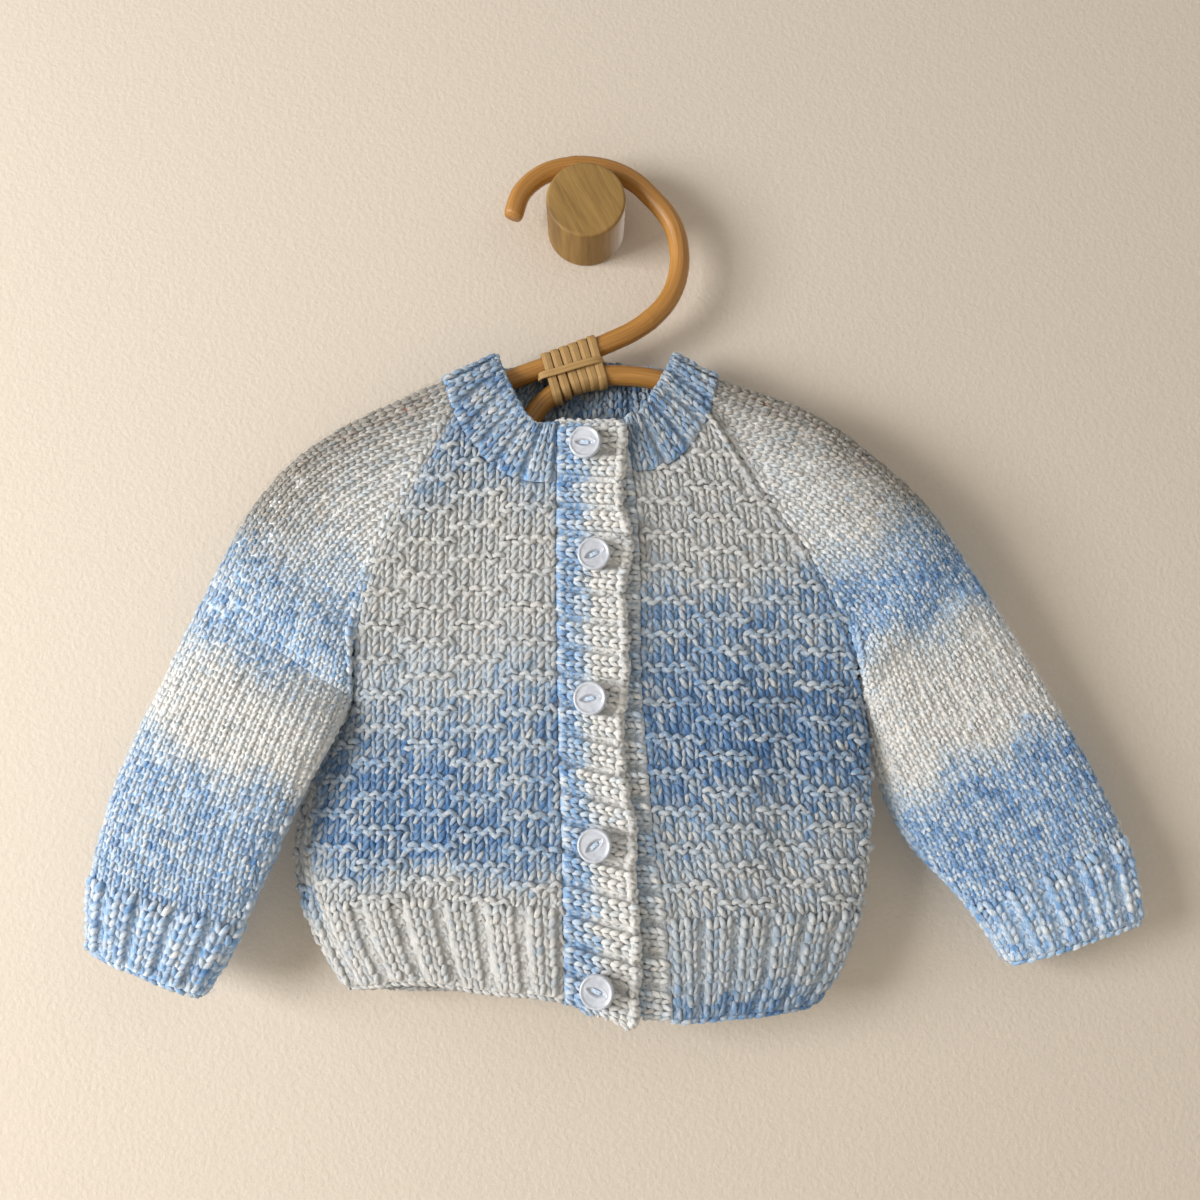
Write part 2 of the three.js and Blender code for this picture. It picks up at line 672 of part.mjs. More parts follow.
function buttonholeBandPanel() {
  const edge = [...neckband.grid.map((row) => row[0]), ...frontRight.grid.map((row) => row[0])];
  const grid = [];
  for (let r = 0; r <= bandSteps; r += 1) {
    const seamHeight = mix(bandTop.buttonhole, bandBottom.seamSide, r / bandSteps);
    const freeHeight = mix(bandTop.buttonhole, bandBottom.freeSide, r / bandSteps);
    const seam = edgeAt(edge, seamHeight);
    const start = point(seam.x + seamGap, seam.y, seamHeight);
    const free = point(read(freeEdge, 'height', freeHeight).x, seam.y, freeHeight);
    grid.push(Array.from({ length: bandColumns + 1 }, (_, c) => free.clone().lerp(start, c / bandColumns)));
  }
  return panel(grid);
}

function buttonBandPanel() {
  const edge = [...neckband.grid.map((row) => lastOf(row)), ...frontLeft.grid.map((row) => lastOf(row))];
  const grid = [];
  for (let r = 0; r <= bandSteps; r += 1) {
    const seamHeight = mix(bandTop.button, bandBottom.buttonSeam, r / bandSteps);
    const freeHeight = mix(bandTop.button, bandBottom.buttonFree, r / bandSteps);
    const seam = edgeAt(edge, seamHeight);
    const start = point(seam.x - seamGap, seam.y, seamHeight);
    const free = point(seam.x - bandWidth, seam.y, freeHeight);
    grid.push(Array.from({ length: bandColumns + 1 }, (_, c) => start.clone().lerp(free, c / bandColumns)));
  }
  return panel(grid);
}

const buttonholeBand = buttonholeBandPanel();
const buttonBand = buttonBandPanel();

// The edges that meet at a front band are cut straight back
const straighten = (outward) => outward.setX(0).normalize();
buttonholeBand.outward.forEach((row) => straighten(lastOf(row)));
buttonBand.outward.forEach((row) => straighten(row[0]));
for (const piece of [frontRight, neckband]) piece.outward.forEach((row) => straighten(row[0]));
for (const piece of [frontLeft, neckband]) piece.outward.forEach((row) => straighten(lastOf(row)));

// Buttons: turned discs with a raised rim
function buttonMesh(name, place) {
  const r = buttonRadius;
  const t = buttonThickness;
  const profile = [
    [0, 0],
    [0.72 * r, 0],
    [0.96 * r, 0.3 * t],
    [r, 0.62 * t],
    [0.9 * r, t],
    [0.76 * r, 0.84 * t],
    [0, 0.74 * t],
  ];
  const geometry = new THREE.LatheGeometry(profile.map(([x, y]) => new THREE.Vector2(x, y)), 20);
  geometry.rotateX(Math.PI);
  const mesh = new THREE.Mesh(geometry, new THREE.MeshStandardMaterial({ color: 0xe9eaf2, roughness: 0.25 }));
  const nearest = buttonholeBand.grid.reduce((best, row) => (
    Math.abs(row[1].z - place.z) < Math.abs(best[1].z - place.z) ? row : best));
  const clear = ribRise + seamGap + 0.72 * r * Math.sin(rad(place.tip));
  mesh.rotation.order = 'ZYX';
  mesh.rotation.set(0, rad(place.turn), rad(-place.tip));
  mesh.position.set(place.x, nearest[1].y - clear, place.z);
  mesh.name = name;
  return mesh;
}

// The cane hanger: one length of cane, from the hook's cut end down the left arm, back along the bar
// and up the right arm to the binding
function armPoints(ridge) {
  return armPlaces.map((up) => {
    const here = read(ridge, 'up', up);
    const nearby = read(ridge, 'up', up > 0.5 ? up - 0.02 : up + 0.02);
    const run = Math.hypot(nearby.x - here.x, nearby.z - here.z);
    const across = Math.abs(nearby.x - here.x) / run;
    const drop = Math.abs(nearby.z - here.z) / run;
    const below = wall + rodClearance + rodRadius;
    return { x: here.x - Math.sign(here.x) * below * drop, z: here.z - below * across };
  });
}

function rodMesh() {
  const { left, right } = armEnds;
  const bend = (end, inward) => [
    { x: end, z: barHeight + endBend * 1.15 },
    { x: end + inward * 0.28 * endBend, z: barHeight + endBend * 0.32 },
    { x: end + inward * endBend, z: barHeight },
  ];
  const bar = barPlaces.map((x) => ({ x, z: barHeight }));
  const route = [
    ...hookRoute,
    ...armPoints(leftRidge),
    ...bend(left, 1),
    ...bar,
    ...bend(right, -1).reverse(),
    ...armPoints(rightRidge).reverse(),
    ...stubRoute,
  ];
  const path = new THREE.CatmullRomCurve3(route.map(({ x, z }) => point(x, rodDepth, z)), false, 'centripetal');
  const section = new THREE.Shape(new THREE.Path().absarc(0, 0, rodRadius, 0, Math.PI * 2).getPoints(5).slice(0, -1));
  const steps = 96;
  const geometry = new THREE.ExtrudeGeometry(section, { steps, extrudePath: path, bevelEnabled: false });
  const mesh = new THREE.Mesh(geometry, new THREE.MeshStandardMaterial({ color: 0xc08a45, roughness: 0.45 }));
  mesh.name = 'hanger_rod';
  return mesh;
}

// The binding: flat cane wound round both lengths of the rod, as one sleeve with rounded ends
function heightOn(route, x) {
  let i = 1;
  while (i < route.length - 1 && (route[i].x - x) * (route[i - 1].x - x) > 0) i += 1;
  return mix(route[i - 1].z, route[i].z, (x - route[i - 1].x) / (route[i].x - route[i - 1].x));
}

function bindingMesh() {
  const stations = 5;
  const around = 16;
  const reach = rodRadius + bindingClearance + bindingWall;
  const descent = hookRoute.filter(({ z }) => z < -50);
  const grid = [];
  for (let s = 0; s <= stations; s += 1) {
    const x = mix(bindingRange.from, bindingRange.to, s / stations);
    const upper = point(x, rodDepth, heightOn(descent, x));
    const shiftX = x + Math.sin(rad(bindingSlope)) * rodSpacing;
    const lower = point(shiftX, rodDepth, heightOn(stubRoute, shiftX));
    const axis = upper.clone().sub(lower).normalize();
    const row = [];
    for (let a = 0; a < around; a += 1) {
      const angle = (Math.PI * 2 * (a + 0.5)) / around;
      const centre = Math.cos(angle) > 0 ? upper : lower;
      const off = axis.clone().multiplyScalar(Math.cos(angle) * reach);
      row.push(centre.clone().add(off).add(point(0, Math.sin(angle) * reach, 0)));
    }
    grid.push(row);
  }
  return ringMesh('hanger_binding', grid, bindingWall, 0xcba873);
}

// A closed ring wall on rows of points that run round it
function ringMesh(name, grid, thickness, colour) {
  const rows = grid.length;
  const count = grid[0].length;
  const positions = [];
  const centres = grid.map((row) => row.reduce((sum, p) => sum.add(p), point(0, 0, 0)).divideScalar(count));
  const outward = grid.map((row, r) => row.map((p, c) => {
    const across = row[(c + 1) % count].clone().sub(row[(c + count - 1) % count]);
    const along = grid[Math.min(rows - 1, r + 1)][c].clone().sub(grid[Math.max(0, r - 1)][c]);
    const normal = across.cross(along).normalize();
    return normal.dot(p.clone().sub(centres[r])) > 0 ? normal : normal.negate();
  }));
  grid.forEach((row) => row.forEach((p) => positions.push(...p.toArray())));
  grid.forEach((row, r) => row.forEach((p, c) => {
    positions.push(...p.clone().addScaledVector(outward[r][c], -thickness).toArray());
  }));
  const outer = (r, c) => r * count + (c % count);
  const inner = (r, c) => rows * count + r * count + (c % count);
  const faces = [];
  const quad = (a, b, c, d) => faces.push(a, b, c, a, c, d);
  for (let c = 0; c < count; c += 1) {
    for (let r = 0; r < rows - 1; r += 1) {
      quad(outer(r, c), outer(r, c + 1), outer(r + 1, c + 1), outer(r + 1, c));
      quad(inner(r, c), inner(r + 1, c), inner(r + 1, c + 1), inner(r, c + 1));
    }
    quad(outer(0, c), inner(0, c), inner(0, c + 1), outer(0, c + 1));
    quad(outer(rows - 1, c), outer(rows - 1, c + 1), inner(rows - 1, c + 1), inner(rows - 1, c));
  }
  const geometry = new THREE.BufferGeometry();
  geometry.setAttribute('position', new THREE.Float32BufferAttribute(positions, 3));
  geometry.setIndex(faces);
  geometry.computeVertexNormals();
  const mesh = new THREE.Mesh(geometry, new THREE.MeshStandardMaterial({ color: colour, roughness: 0.6 }));
  mesh.name = name;
  return mesh;
}

// The wall peg: a turned birch cylinder with eased edges, its flat back on the wall
function pegMesh() {
  const profile = [
    [0, 0],
    [pegRadius, 0],
    [pegRadius, pegLength - pegEdgeEase],
    [pegRadius - pegEdgeEase, pegLength],
    [0, pegLength],
  ];
  const geometry = new THREE.LatheGeometry(profile.map(([x, y]) => new THREE.Vector2(x, y)), 48);
  const mesh = new THREE.Mesh(geometry, new THREE.MeshStandardMaterial({ color: 0xb79a68, roughness: 0.6 }));
  mesh.rotation.x = Math.PI;
  mesh.name = 'wall_peg';
  return mesh;
}

const hemRibFrom = yokeCount + bodyRows.indexOf(hemRibStart) + 1;
const cuffRibFrom = yokeCount + sleeveRows.indexOf(cuffRibStart) + 1;
const hemRise = (r, c) => (r < hemRibFrom ? 0 : ribAt(c));
const cuffRise = (r, c) => (r < cuffRibFrom ? 0 : ribAt(c));

const cardigan = new THREE.Group();
cardigan.add(
  wallMesh('back', back, wall, hemRise, wool(0xb9cce4)),
  wallMesh('front_right', frontRight, wall, hemRise, wool(0xa9c3e6)),
  wallMesh('front_left', frontLeft, wall, hemRise, wool(0x9dbbe2)),
  wallMesh('sleeve_right', sleeveRight, wall, cuffRise, wool(0xb4cbea)),
  wallMesh('sleeve_left', sleeveLeft, wall, cuffRise, wool(0xaac6ea)),
  wallMesh('neckband', neckband, wall, (r, c) => ribAt(c), wool(0x7fa8dc)),
  wallMesh('buttonhole_band', buttonholeBand, wall, (r) => ribAt(r), wool(0xdfe2e6)),
  wallMesh('button_band', buttonBand, wall, (r) => ribAt(r), wool(0xc3cdda)),
);
buttonPlaces.forEach((place, index) => cardigan.add(buttonMesh(`button_${index + 1}`, place)));
cardigan.add(rodMesh(), bindingMesh(), pegMesh());

export default cardigan;
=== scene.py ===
# A hand-knitted newborn's raglan cardigan on a cane hanger, hooked over a round birch wall peg.
# Sizes are in millimetres, as a knitter measures them, and become metres where a mesh is made.
import math

import bpy
import numpy as np
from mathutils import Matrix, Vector


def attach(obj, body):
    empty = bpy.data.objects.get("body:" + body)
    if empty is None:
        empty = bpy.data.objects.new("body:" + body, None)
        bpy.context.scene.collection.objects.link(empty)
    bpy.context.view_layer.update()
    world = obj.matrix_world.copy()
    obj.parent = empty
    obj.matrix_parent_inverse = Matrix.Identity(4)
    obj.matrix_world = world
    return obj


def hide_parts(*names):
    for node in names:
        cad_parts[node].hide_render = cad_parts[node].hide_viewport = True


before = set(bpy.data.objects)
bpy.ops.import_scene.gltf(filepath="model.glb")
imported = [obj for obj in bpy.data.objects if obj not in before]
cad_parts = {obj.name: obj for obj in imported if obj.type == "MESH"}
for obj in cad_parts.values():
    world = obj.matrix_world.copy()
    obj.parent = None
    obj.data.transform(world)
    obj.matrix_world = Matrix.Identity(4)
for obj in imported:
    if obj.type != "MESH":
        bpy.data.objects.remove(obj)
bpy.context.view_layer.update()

# The camera stands in front of the garment and a little below the peg, tipped up at it,
# as the photograph was taken.
camera_data = bpy.data.cameras.new("camera")
camera_data.sensor_width = 36
camera_data.lens = 34.65
camera = bpy.data.objects.new("camera", camera_data)
camera.location = (0, -0.46, -0.2295)
camera.rotation_euler = (math.radians(98.76), 0, math.radians(-0.744))
bpy.context.scene.collection.objects.link(camera)
bpy.context.scene.camera = camera
bpy.context.scene.view_settings.view_transform = "Standard"

# The wearer's right front, at the viewer's left. It is knitted in stocking stitch with short purl
# dashes, four stitches long, in a double-knitting yarn whose blue comes and goes. The hem is in
# two by two rib. All later knitted pieces use this section's shapes, stitches and yarn.
MM = 0.001
UNDERARM = -200
LEFT_HEM, RIGHT_HEM = -305.5, -311
NECK = {True: -119, False: -113}
NECKLINE_CURVE = 2.75
MIDDLE = 9
BAND_LIFT = 4.5
RIB_RISE = 1.2
COURSE = 3.2
STITCH = 4.8
HEM_RIB = 0.71


def table(names, *rows):
    """A short table: a list of numbers under each name."""
    return {name: np.array([row[i] for row in rows], float) for i, name in enumerate(names.split())}


# The body below the underarm: its side edges, the depth of each side fold, and how far the back
# wraps forward past the left fold
BODY_OUTLINE = table(
    "down left right left_fold right_fold wrap",
    (0.0, -87.7, 105.7, -17, -17, 0),
    (0.05, -89.8, 106.5, -14.5, -18.5, 1.5),
    (0.1, -93.5, 107.2, -12, -19.5, 4),
    (0.16, -99, 107.5, -10, -20, 7),
    (0.28, -105, 107.5, -9, -20.5, 10),
    (0.42, -108.5, 107, -9, -20.5, 12),
    (0.55, -110, 105.5, -9.5, -20, 13),
    (0.68, -107, 102.8, -11, -19, 12),
    (0.8, -101.3, 98.7, -12.5, -18, 10),
    (0.9, -94.5, 94, -13.5, -17.5, 8),
    (1.0, -87.5, 85, -14, -17, 7),
)
DEPTHS = table(
    "height front back",
    (-317, -29.5, -6),
    (-290, -30, -6),
    (-277, -31.5, -4.5),
    (-250, -32.5, -3.6),
    (-200, -31.5, -4),
    (-160, -31, -4.5),
    (-120, -30, -5),
    (-90, -29, -5.5),
)
FRONT_HEM = table(
    "x rise",
    (-88, 0), (-62, 4), (-37, 2.5), (-10, 1.5), (16, -6), (34, -5.5), (60, -3), (86, 0),
)
LEFT_RAGLAN = table(
    "up x z front back",
    (0, -88, -200, -17, -17),
    (0.12, -87, -187, -27, -8.5),
    (0.25, -85, -172, -29.5, -5.5),
    (0.5, -79, -147, -30, -5),
    (0.75, -67, -121, -28.5, -5.5),
    (1, -51, -90, -26, -6.5),
)
RIGHT_RAGLAN = table(
    "up x z front back",
    (0, 106, -200, -17, -17),
    (0.12, 103, -187, -27, -8.5),
    (0.25, 99, -173, -29.5, -5.5),
    (0.5, 87, -148, -30, -5),
    (0.75, 70, -122, -28.5, -5.5),
    (1, 49, -88, -26, -6.5),
)
BUTTONHOLE_SEAM = table("height x", (-317, -7), (-266, -8), (-208, -10), (-149, -11), (-97, -11))
BUTTON_SEAM = table(
    "height x",
    (-317, 32), (-299, 31), (-274, 29), (-257, 26), (-222, 23), (-190, 21), (-154, 21),
    (-130, 20), (-108, 17.5), (-93, 15),
)
# Each side's own lines: the viewer's left side is True
RAGLAN = {True: LEFT_RAGLAN, False: RIGHT_RAGLAN}
BAND_SEAM = {True: BUTTONHOLE_SEAM, False: BUTTON_SEAM}
# Soft folds that hang in the front (-1) and the back (1): a ridge is positive, a trough negative
FOLDS = table(
    "side x lean top bottom width depth",
    (-1, -74, 0.1, -150, -290, 9, -1.8),
    (-1, -48, 0.05, -190, -285, 12, 1.2),
    (-1, 58, -0.06, -160, -290, 12, 1.5),
    (-1, 82, -0.1, -170, -285, 8, -1.6),
    (1, -58, 0.08, -170, -285, 12, 1),
    (1, 8, 0.02, -150, -290, 14, -1.4),
    (1, 66, -0.06, -165, -290, 11, 0.9),
)


def ease(start, end, value):
    share = np.clip((value - start) / (end - start), 0, 1)
    return share * share * (3 - 2 * share)


def mix(a, b, share):
    return a + (b - a) * share


def read(rows, value):
    """Every column of a table at values of its first column, on a smooth curve through its rows."""
    names = list(rows)
    key = rows[names[0]]
    last = len(key) - 1
    at = np.clip(value, key[0], key[-1])
    a = np.clip(np.searchsorted(key, at) - 1, 0, last - 1)
    b, before, after = a + 1, np.maximum(a - 1, 0), np.minimum(a + 2, last)
    span = key[b] - key[a]
    s = (at - key[a]) / span
    found = {}
    for name in names:
        v = rows[name]
        rise = v[b] - v[a]
        slope_a = (v[b] - v[before]) / (key[b] - key[before]) * span
        slope_b = (v[after] - v[a]) / (key[after] - key[a]) * span
        bend = (1 - s) * (slope_a - rise) - s * (slope_b - rise)
        found[name] = v[a] + rise * s + s * (1 - s) * bend
    return found


def unit(vectors):
    return vectors / np.maximum(np.linalg.norm(vectors, axis=-1, keepdims=True), 1e-9)


def run_of(points):
    steps = np.linalg.norm(np.diff(points, axis=0), axis=1)
    return np.concatenate([[0], np.cumsum(steps)])


def at_run(points, run, distance):
    return np.stack([np.interp(distance, run, points[:, i]) for i in range(3)], -1)


def spread(points, steps, trim_start=0.15, trim_end=0.15):
    """Points at even steps along a line, trimmed at its two ends."""
    run = run_of(points)
    return at_run(points, run, np.linspace(trim_start, run[-1] - trim_end, steps + 1))


def fold_shift(side, x, z):
    shift = 0
    for i in np.flatnonzero(FOLDS["side"] == side):
        f = {name: values[i] for name, values in FOLDS.items()}
        off = (x - f["x"] - f["lean"] * (f["top"] - z)) / f["width"]
        along = ease(f["top"], f["top"] - 40, z) * (1 - ease(f["bottom"] + 35, f["bottom"], z))
        shift = shift + f["depth"] * along * np.exp(-off * off)
    return shift * side


def half_row(side, edge, edge_depth, panel_depth, from_x, height_at):
    """Half of a row of the body, from a given x to its side edge, where it has the fold's depth."""
    shape = 2.2 if edge < MIDDLE else 2.7
    reach = edge - MIDDLE
    start = math.acos(min(1, max(0, (from_x - MIDDLE) / reach)) ** (shape / 2))
    angle = start * (1 - np.linspace(0, 1, 61))
    x = MIDDLE + reach * np.abs(np.cos(angle)) ** (2 / shape)
    bulge = np.abs(np.sin(angle)) ** (2 / shape)
    z = height_at(x)
    return np.stack([x, edge_depth + (panel_depth + fold_shift(side, x, z) - edge_depth) * bulge, z], -1)


def lifted(points):
    """The cloth beside the upper front band comes forward, because that band lies on the lower one."""
    raised = points.copy()
    raised[:, 1] -= BAND_LIFT * ease(-46, -16, points[:, 0])
    return raised


def body_height(down, outline, front):
    def height_at(x):
        share = (x - outline["left"]) / (outline["right"] - outline["left"])
        level = mix(LEFT_HEM, RIGHT_HEM, share)
        rise = read(FRONT_HEM, x)["rise"] if front else 0
        return mix(UNDERARM, level, down) + rise * down * down
    return height_at


def front_body_row(down, left_side):
    outline = read(BODY_OUTLINE, down)
    height_at = body_height(down, outline, True)
    depth = read(DEPTHS, height_at(MIDDLE))["front"]
    if left_side:
        from_x = read(BUTTONHOLE_SEAM, height_at(-9))["x"]
        row = lifted(half_row(-1, outline["left"], outline["left_fold"], depth, from_x, height_at))
        run = run_of(row)
        return at_run(row, run, np.linspace(0, run[-1] - outline["wrap"], 121))
    from_x = read(BUTTON_SEAM, height_at(25))["x"]
    return half_row(-1, outline["right"], outline["right_fold"], depth, from_x, height_at)


def front_yoke_row(up, left_side):
    """A row of the panel's edge shape, which climbs from the front band to the raglan seam."""
    seam = read(RAGLAN[left_side], up)
    neck = NECK[left_side]
    band_height = mix(UNDERARM, neck, up)
    from_x = read(BAND_SEAM[left_side], band_height)["x"]
    power = mix(1, NECKLINE_CURVE, up)

    def height_at(x):
        return mix(band_height, seam["z"], np.clip((x - from_x) / (seam["x"] - from_x), 0, 1) ** power)

    depth = read(DEPTHS, band_height)["front"]
    row = half_row(-1, seam["x"], seam["front"], depth, from_x, height_at)
    return lifted(row) if left_side else row


def raglan_at_height(seam_rows, height, lift=0):
    ups = np.linspace(0, 1, 201)
    seam = read(seam_rows, ups)
    return read(seam_rows, np.interp(height, seam["z"] + lift * ups * ups, ups))


def front_level_row(height, left_side):
    """A course of the front yoke: level, from the front band's line to the raglan seam."""
    seam = raglan_at_height(RAGLAN[left_side], height)
    from_x = read(BAND_SEAM[left_side], height)["x"]
    depth = read(DEPTHS, height)["front"]
    row = half_row(-1, seam["x"], seam["front"], depth, from_x, lambda x: height + 0 * x)
    return lifted(row) if left_side else row


def front_neckline(x, left_side):
    seam = read(RAGLAN[left_side], 1.0)
    neck = NECK[left_side]
    from_x = read(BAND_SEAM[left_side], neck)["x"]
    return mix(neck, seam["z"], np.clip((x - from_x) / (seam["x"] - from_x), 0, 1) ** NECKLINE_CURVE)


def outward_of(grid, face):
    across = np.gradient(grid, axis=1)
    down = np.gradient(grid, axis=0)
    return unit(np.cross(across, down)) * face


def new_piece(name, positions, faces, material, smooth=True):
    """A mesh piece from points in millimetres and a list of equal-sided face arrays."""
    mesh = bpy.data.meshes.new(name)
    sizes = np.concatenate([np.full(len(f), f.shape[1]) for f in faces])
    corners = np.concatenate([f.ravel() for f in faces]).astype(np.int32)
    mesh.vertices.add(len(positions))
    mesh.vertices.foreach_set("co", (positions * MM).astype(np.float32).ravel())
    mesh.loops.add(len(corners))
    mesh.loops.foreach_set("vertex_index", corners)
    mesh.polygons.add(len(sizes))
    mesh.polygons.foreach_set("loop_start", np.concatenate([[0], np.cumsum(sizes)[:-1]]).astype(np.int32))
    mesh.polygons.foreach_set("use_smooth", np.full(len(sizes), smooth))
    mesh.update(calc_edges=True)
    mesh.materials.append(material)
    piece = bpy.data.objects.new(name, mesh)
    bpy.context.scene.collection.objects.link(piece)
    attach(piece, "root")
    return piece


def write_values(piece, name, values):
    """A number for each point of a piece, which its material reads by name."""
    piece.data.attributes.new(name, "FLOAT", "POINT").data.foreach_set("value", values.astype(np.float32))


def shell_piece(name, grid, outward, rise, dye, material, thin=None, outer=-1.15, thickness=1.1):
    """The cloth itself, as a thin closed sheet under its stitches."""
    outside = grid + outward * (rise[..., None] + outer)
    inside = grid + outward * (rise[..., None] * 0.6 + outer - thickness)
    n = grid.shape[0] * grid.shape[1]
    index = np.arange(n).reshape(grid.shape[:2])

    def strip(a, b, c, d):
        return np.stack([a.ravel(), b.ravel(), c.ravel(), d.ravel()], -1)

    out_faces = strip(index[:-1, :-1], index[:-1, 1:], index[1:, 1:], index[1:, :-1])
    faces = [out_faces, out_faces[:, ::-1] + n]
    for edge, forward in ((index[0], True), (index[-1], False), (index[:, 0], False), (index[:, -1], True)):
        a, b = edge[:-1], edge[1:]
        faces.append(strip(a, a + n, b + n, b) if forward else strip(a, b, b + n, a + n))
    faces = np.concatenate(faces)
    if np.sum(np.cross(grid[0, 1] - grid[0, 0], grid[1, 0] - grid[0, 0]) * outward[0, 0]) < 0:
        faces = faces[:, ::-1]
    positions = np.concatenate([outside.reshape(-1, 3), inside.reshape(-1, 3)])
    piece = new_piece(name, positions, [faces], material)
    write_values(piece, "dye", np.tile(dye.ravel(), 2))
    if thin is not None:
        write_values(piece, "thin", np.tile(thin.ravel(), 2))
    return piece


# No fibre reaches back into the wall behind the garment
WALL_CLEARANCE = -0.3
# The section of a yarn: four points, whose shading is smooth
YARN_SIDES = np.radians([-108, -38, 38, 108])


class Yarn:
    """Collects short lengths of yarn and joins them into one mesh."""

    def __init__(self, seed):
        self.random = np.random.default_rng(seed)
        self.positions, self.dyes, self.count = [], [], 0
        self.tips, self.walls = [], []
        self.tip_maps, self.wall_maps = [], []

    def lay(self, path, outward, radius, dye, turns=0.7):
        """path and outward are (lengths, stations, 3), radius (lengths, stations), dye (lengths,)."""
        n, k = path.shape[:2]
        if n == 0:
            return
        sides = len(YARN_SIDES)
        along = unit(np.gradient(path, axis=1))
        side = unit(np.cross(outward, along))
        up = unit(np.cross(along, side))
        angle = YARN_SIDES[None, None, :, None]
        ring = side[:, 1:-1, None] * np.sin(angle) + up[:, 1:-1, None] * np.cos(angle)
        ring = path[:, 1:-1, None] + ring * radius[:, 1:-1, None, None]
        block = np.concatenate([path[:, :1], ring.reshape(n, -1, 3), path[:, -1:]], 1)
        size = block.shape[1]
        base = self.count + np.arange(n)[:, None] * size
        j = np.arange(sides)
        nxt = (j + 1) % sides
        last = 1 + (k - 3) * sides
        start_tip = np.stack([np.zeros_like(j), 1 + j, 1 + nxt], -1)
        end_tip = np.stack([np.full_like(j, size - 1), last + nxt, last + j], -1)
        tips = np.concatenate([start_tip, end_tip])
        first = 1 + sides * np.arange(k - 3)[:, None]
        walls = np.stack([first + j, first + sides + j, first + sides + nxt, first + nxt], -1).reshape(-1, 4)
        phase = self.random.random((n, 1))
        station = np.linspace(0, turns, k)
        near, far = station[1:-2], station[2:-1]
        u0, u1 = j / sides, (j + 1) / sides
        tip_u = np.concatenate([np.stack([(u0 + u1) / 2, a, b], -1) for a, b in ((u0, u1), (u1, u0))])
        tip_v = np.repeat([station[[0, 1, 1]], station[[-1, -2, -2]]], sides, axis=0)
        wall_u = np.tile(np.stack([u0, u0, u1, u1], -1), (k - 3, 1))
        wall_v = np.repeat(np.stack([near, far, far, near], -1), sides, axis=0)
        self.positions.append(block.reshape(-1, 3))
        self.tips.append((base[..., None] + tips[None]).reshape(-1, 3))
        self.walls.append((base[..., None] + walls[None]).reshape(-1, 4))
        self.tip_maps.append(self.mapped(tip_u, tip_v, phase))
        self.wall_maps.append(self.mapped(wall_u, wall_v, phase))
        self.dyes.append(np.repeat(dye, size))
        self.count += n * size

    @staticmethod
    def mapped(u, v, phase):
        shift = np.stack([phase, 7 * phase], -1)[:, :, None]
        return (np.stack([u, v], -1)[None] + shift).reshape(-1, 2)

    def piece(self, name, material, slot, thin_at=None):
        tips, walls = np.concatenate(self.tips), np.concatenate(self.walls)
        positions = np.concatenate(self.positions)
        positions[:, 1] = np.minimum(positions[:, 1], WALL_CLEARANCE)
        made = new_piece(name, positions, [tips, walls], material)
        write_values(made, "dye", np.concatenate(self.dyes))
        if thin_at is not None:
            write_values(made, "thin", thin_at(positions))
        ply_map = made.data.uv_layers.new(name="ply", do_init=False)
        corners = np.concatenate([np.concatenate(self.tip_maps), np.concatenate(self.wall_maps)])
        ply_map.uv.foreach_set("vector", corners.astype(np.float32).ravel())
        return made


# A column whose middle is nearer than this to the end of its course is left out there
COLUMN_EDGE = 0.9


def place_columns(courses, column_runs, face):
    """Puts each column's place, across and outward directions on every course.

    column_runs is (courses, columns): how far along its course each column's middle lies."""
    place, across, inside = [], [], []
    for points, runs in zip(courses, column_runs):
        run = run_of(points)
        total = run[-1]
        after, before = [at_run(points, run, np.clip(runs + aside, 0, total)) for aside in (2, -2)]
        place.append(at_run(points, run, runs))
        across.append(unit(after - before))
        inside.append((runs > COLUMN_EDGE) & (runs < total - COLUMN_EDGE))
    place, across = np.array(place), np.array(across)
    outward = unit(np.cross(across, np.gradient(place, axis=0))) * face
    return {"place": place, "across": across, "outward": outward, "inside": np.array(inside)}


def cells(net, chosen, width, rise=0.0):
    """The frames of the chosen stitches, one between each course and the next."""
    top, bottom = net["place"][:-1], net["place"][1:]
    pick = chosen & net["inside"][:-1] & net["inside"][1:]
    outward = unit(net["outward"][:-1] + net["outward"][1:])
    centre = (top + bottom) / 2 + outward * rise
    wide = np.broadcast_to(width, pick.shape)
    return {
        "centre": centre[pick],
        "up": (top - bottom)[pick],
        "across": unit(net["across"][:-1] + net["across"][1:])[pick],
        "outward": outward[pick],
        "width": wide[pick],
    }


def path_in(frame_of, x, y, raised):
    """A line of points in each stitch's own frame, and the direction outward at each point."""
    path = frame_of["centre"][:, None] + frame_of["across"][:, None] * x[..., None]
    path = path + frame_of["up"][:, None] * y[..., None] + frame_of["outward"][:, None] * raised[..., None]
    return path, np.broadcast_to(frame_of["outward"][:, None], path.shape)


# Stations along one leg of a knit stitch, from its foot to its head
LEG = table(
    "t radius depth",
    (0.0, 0.0, -2.0),
    (0.2, 0.88, -1.1),
    (0.52, 1.06, -0.72),
    (0.82, 0.88, -1.15),
    (1.0, 0.0, -2.2),
)
SHORT_LEG = table(
    "t radius depth",
    (0.0, 0.0, -2.0),
    (0.32, 1.0, -0.82),
    (0.72, 1.0, -0.85),
    (1.0, 0.0, -2.1),
)

# One leg of each stitch lies over the other, and the dye speckles from leg to leg
FAVOURED = 0.1
SPECKLE = (0.65, 1.2)


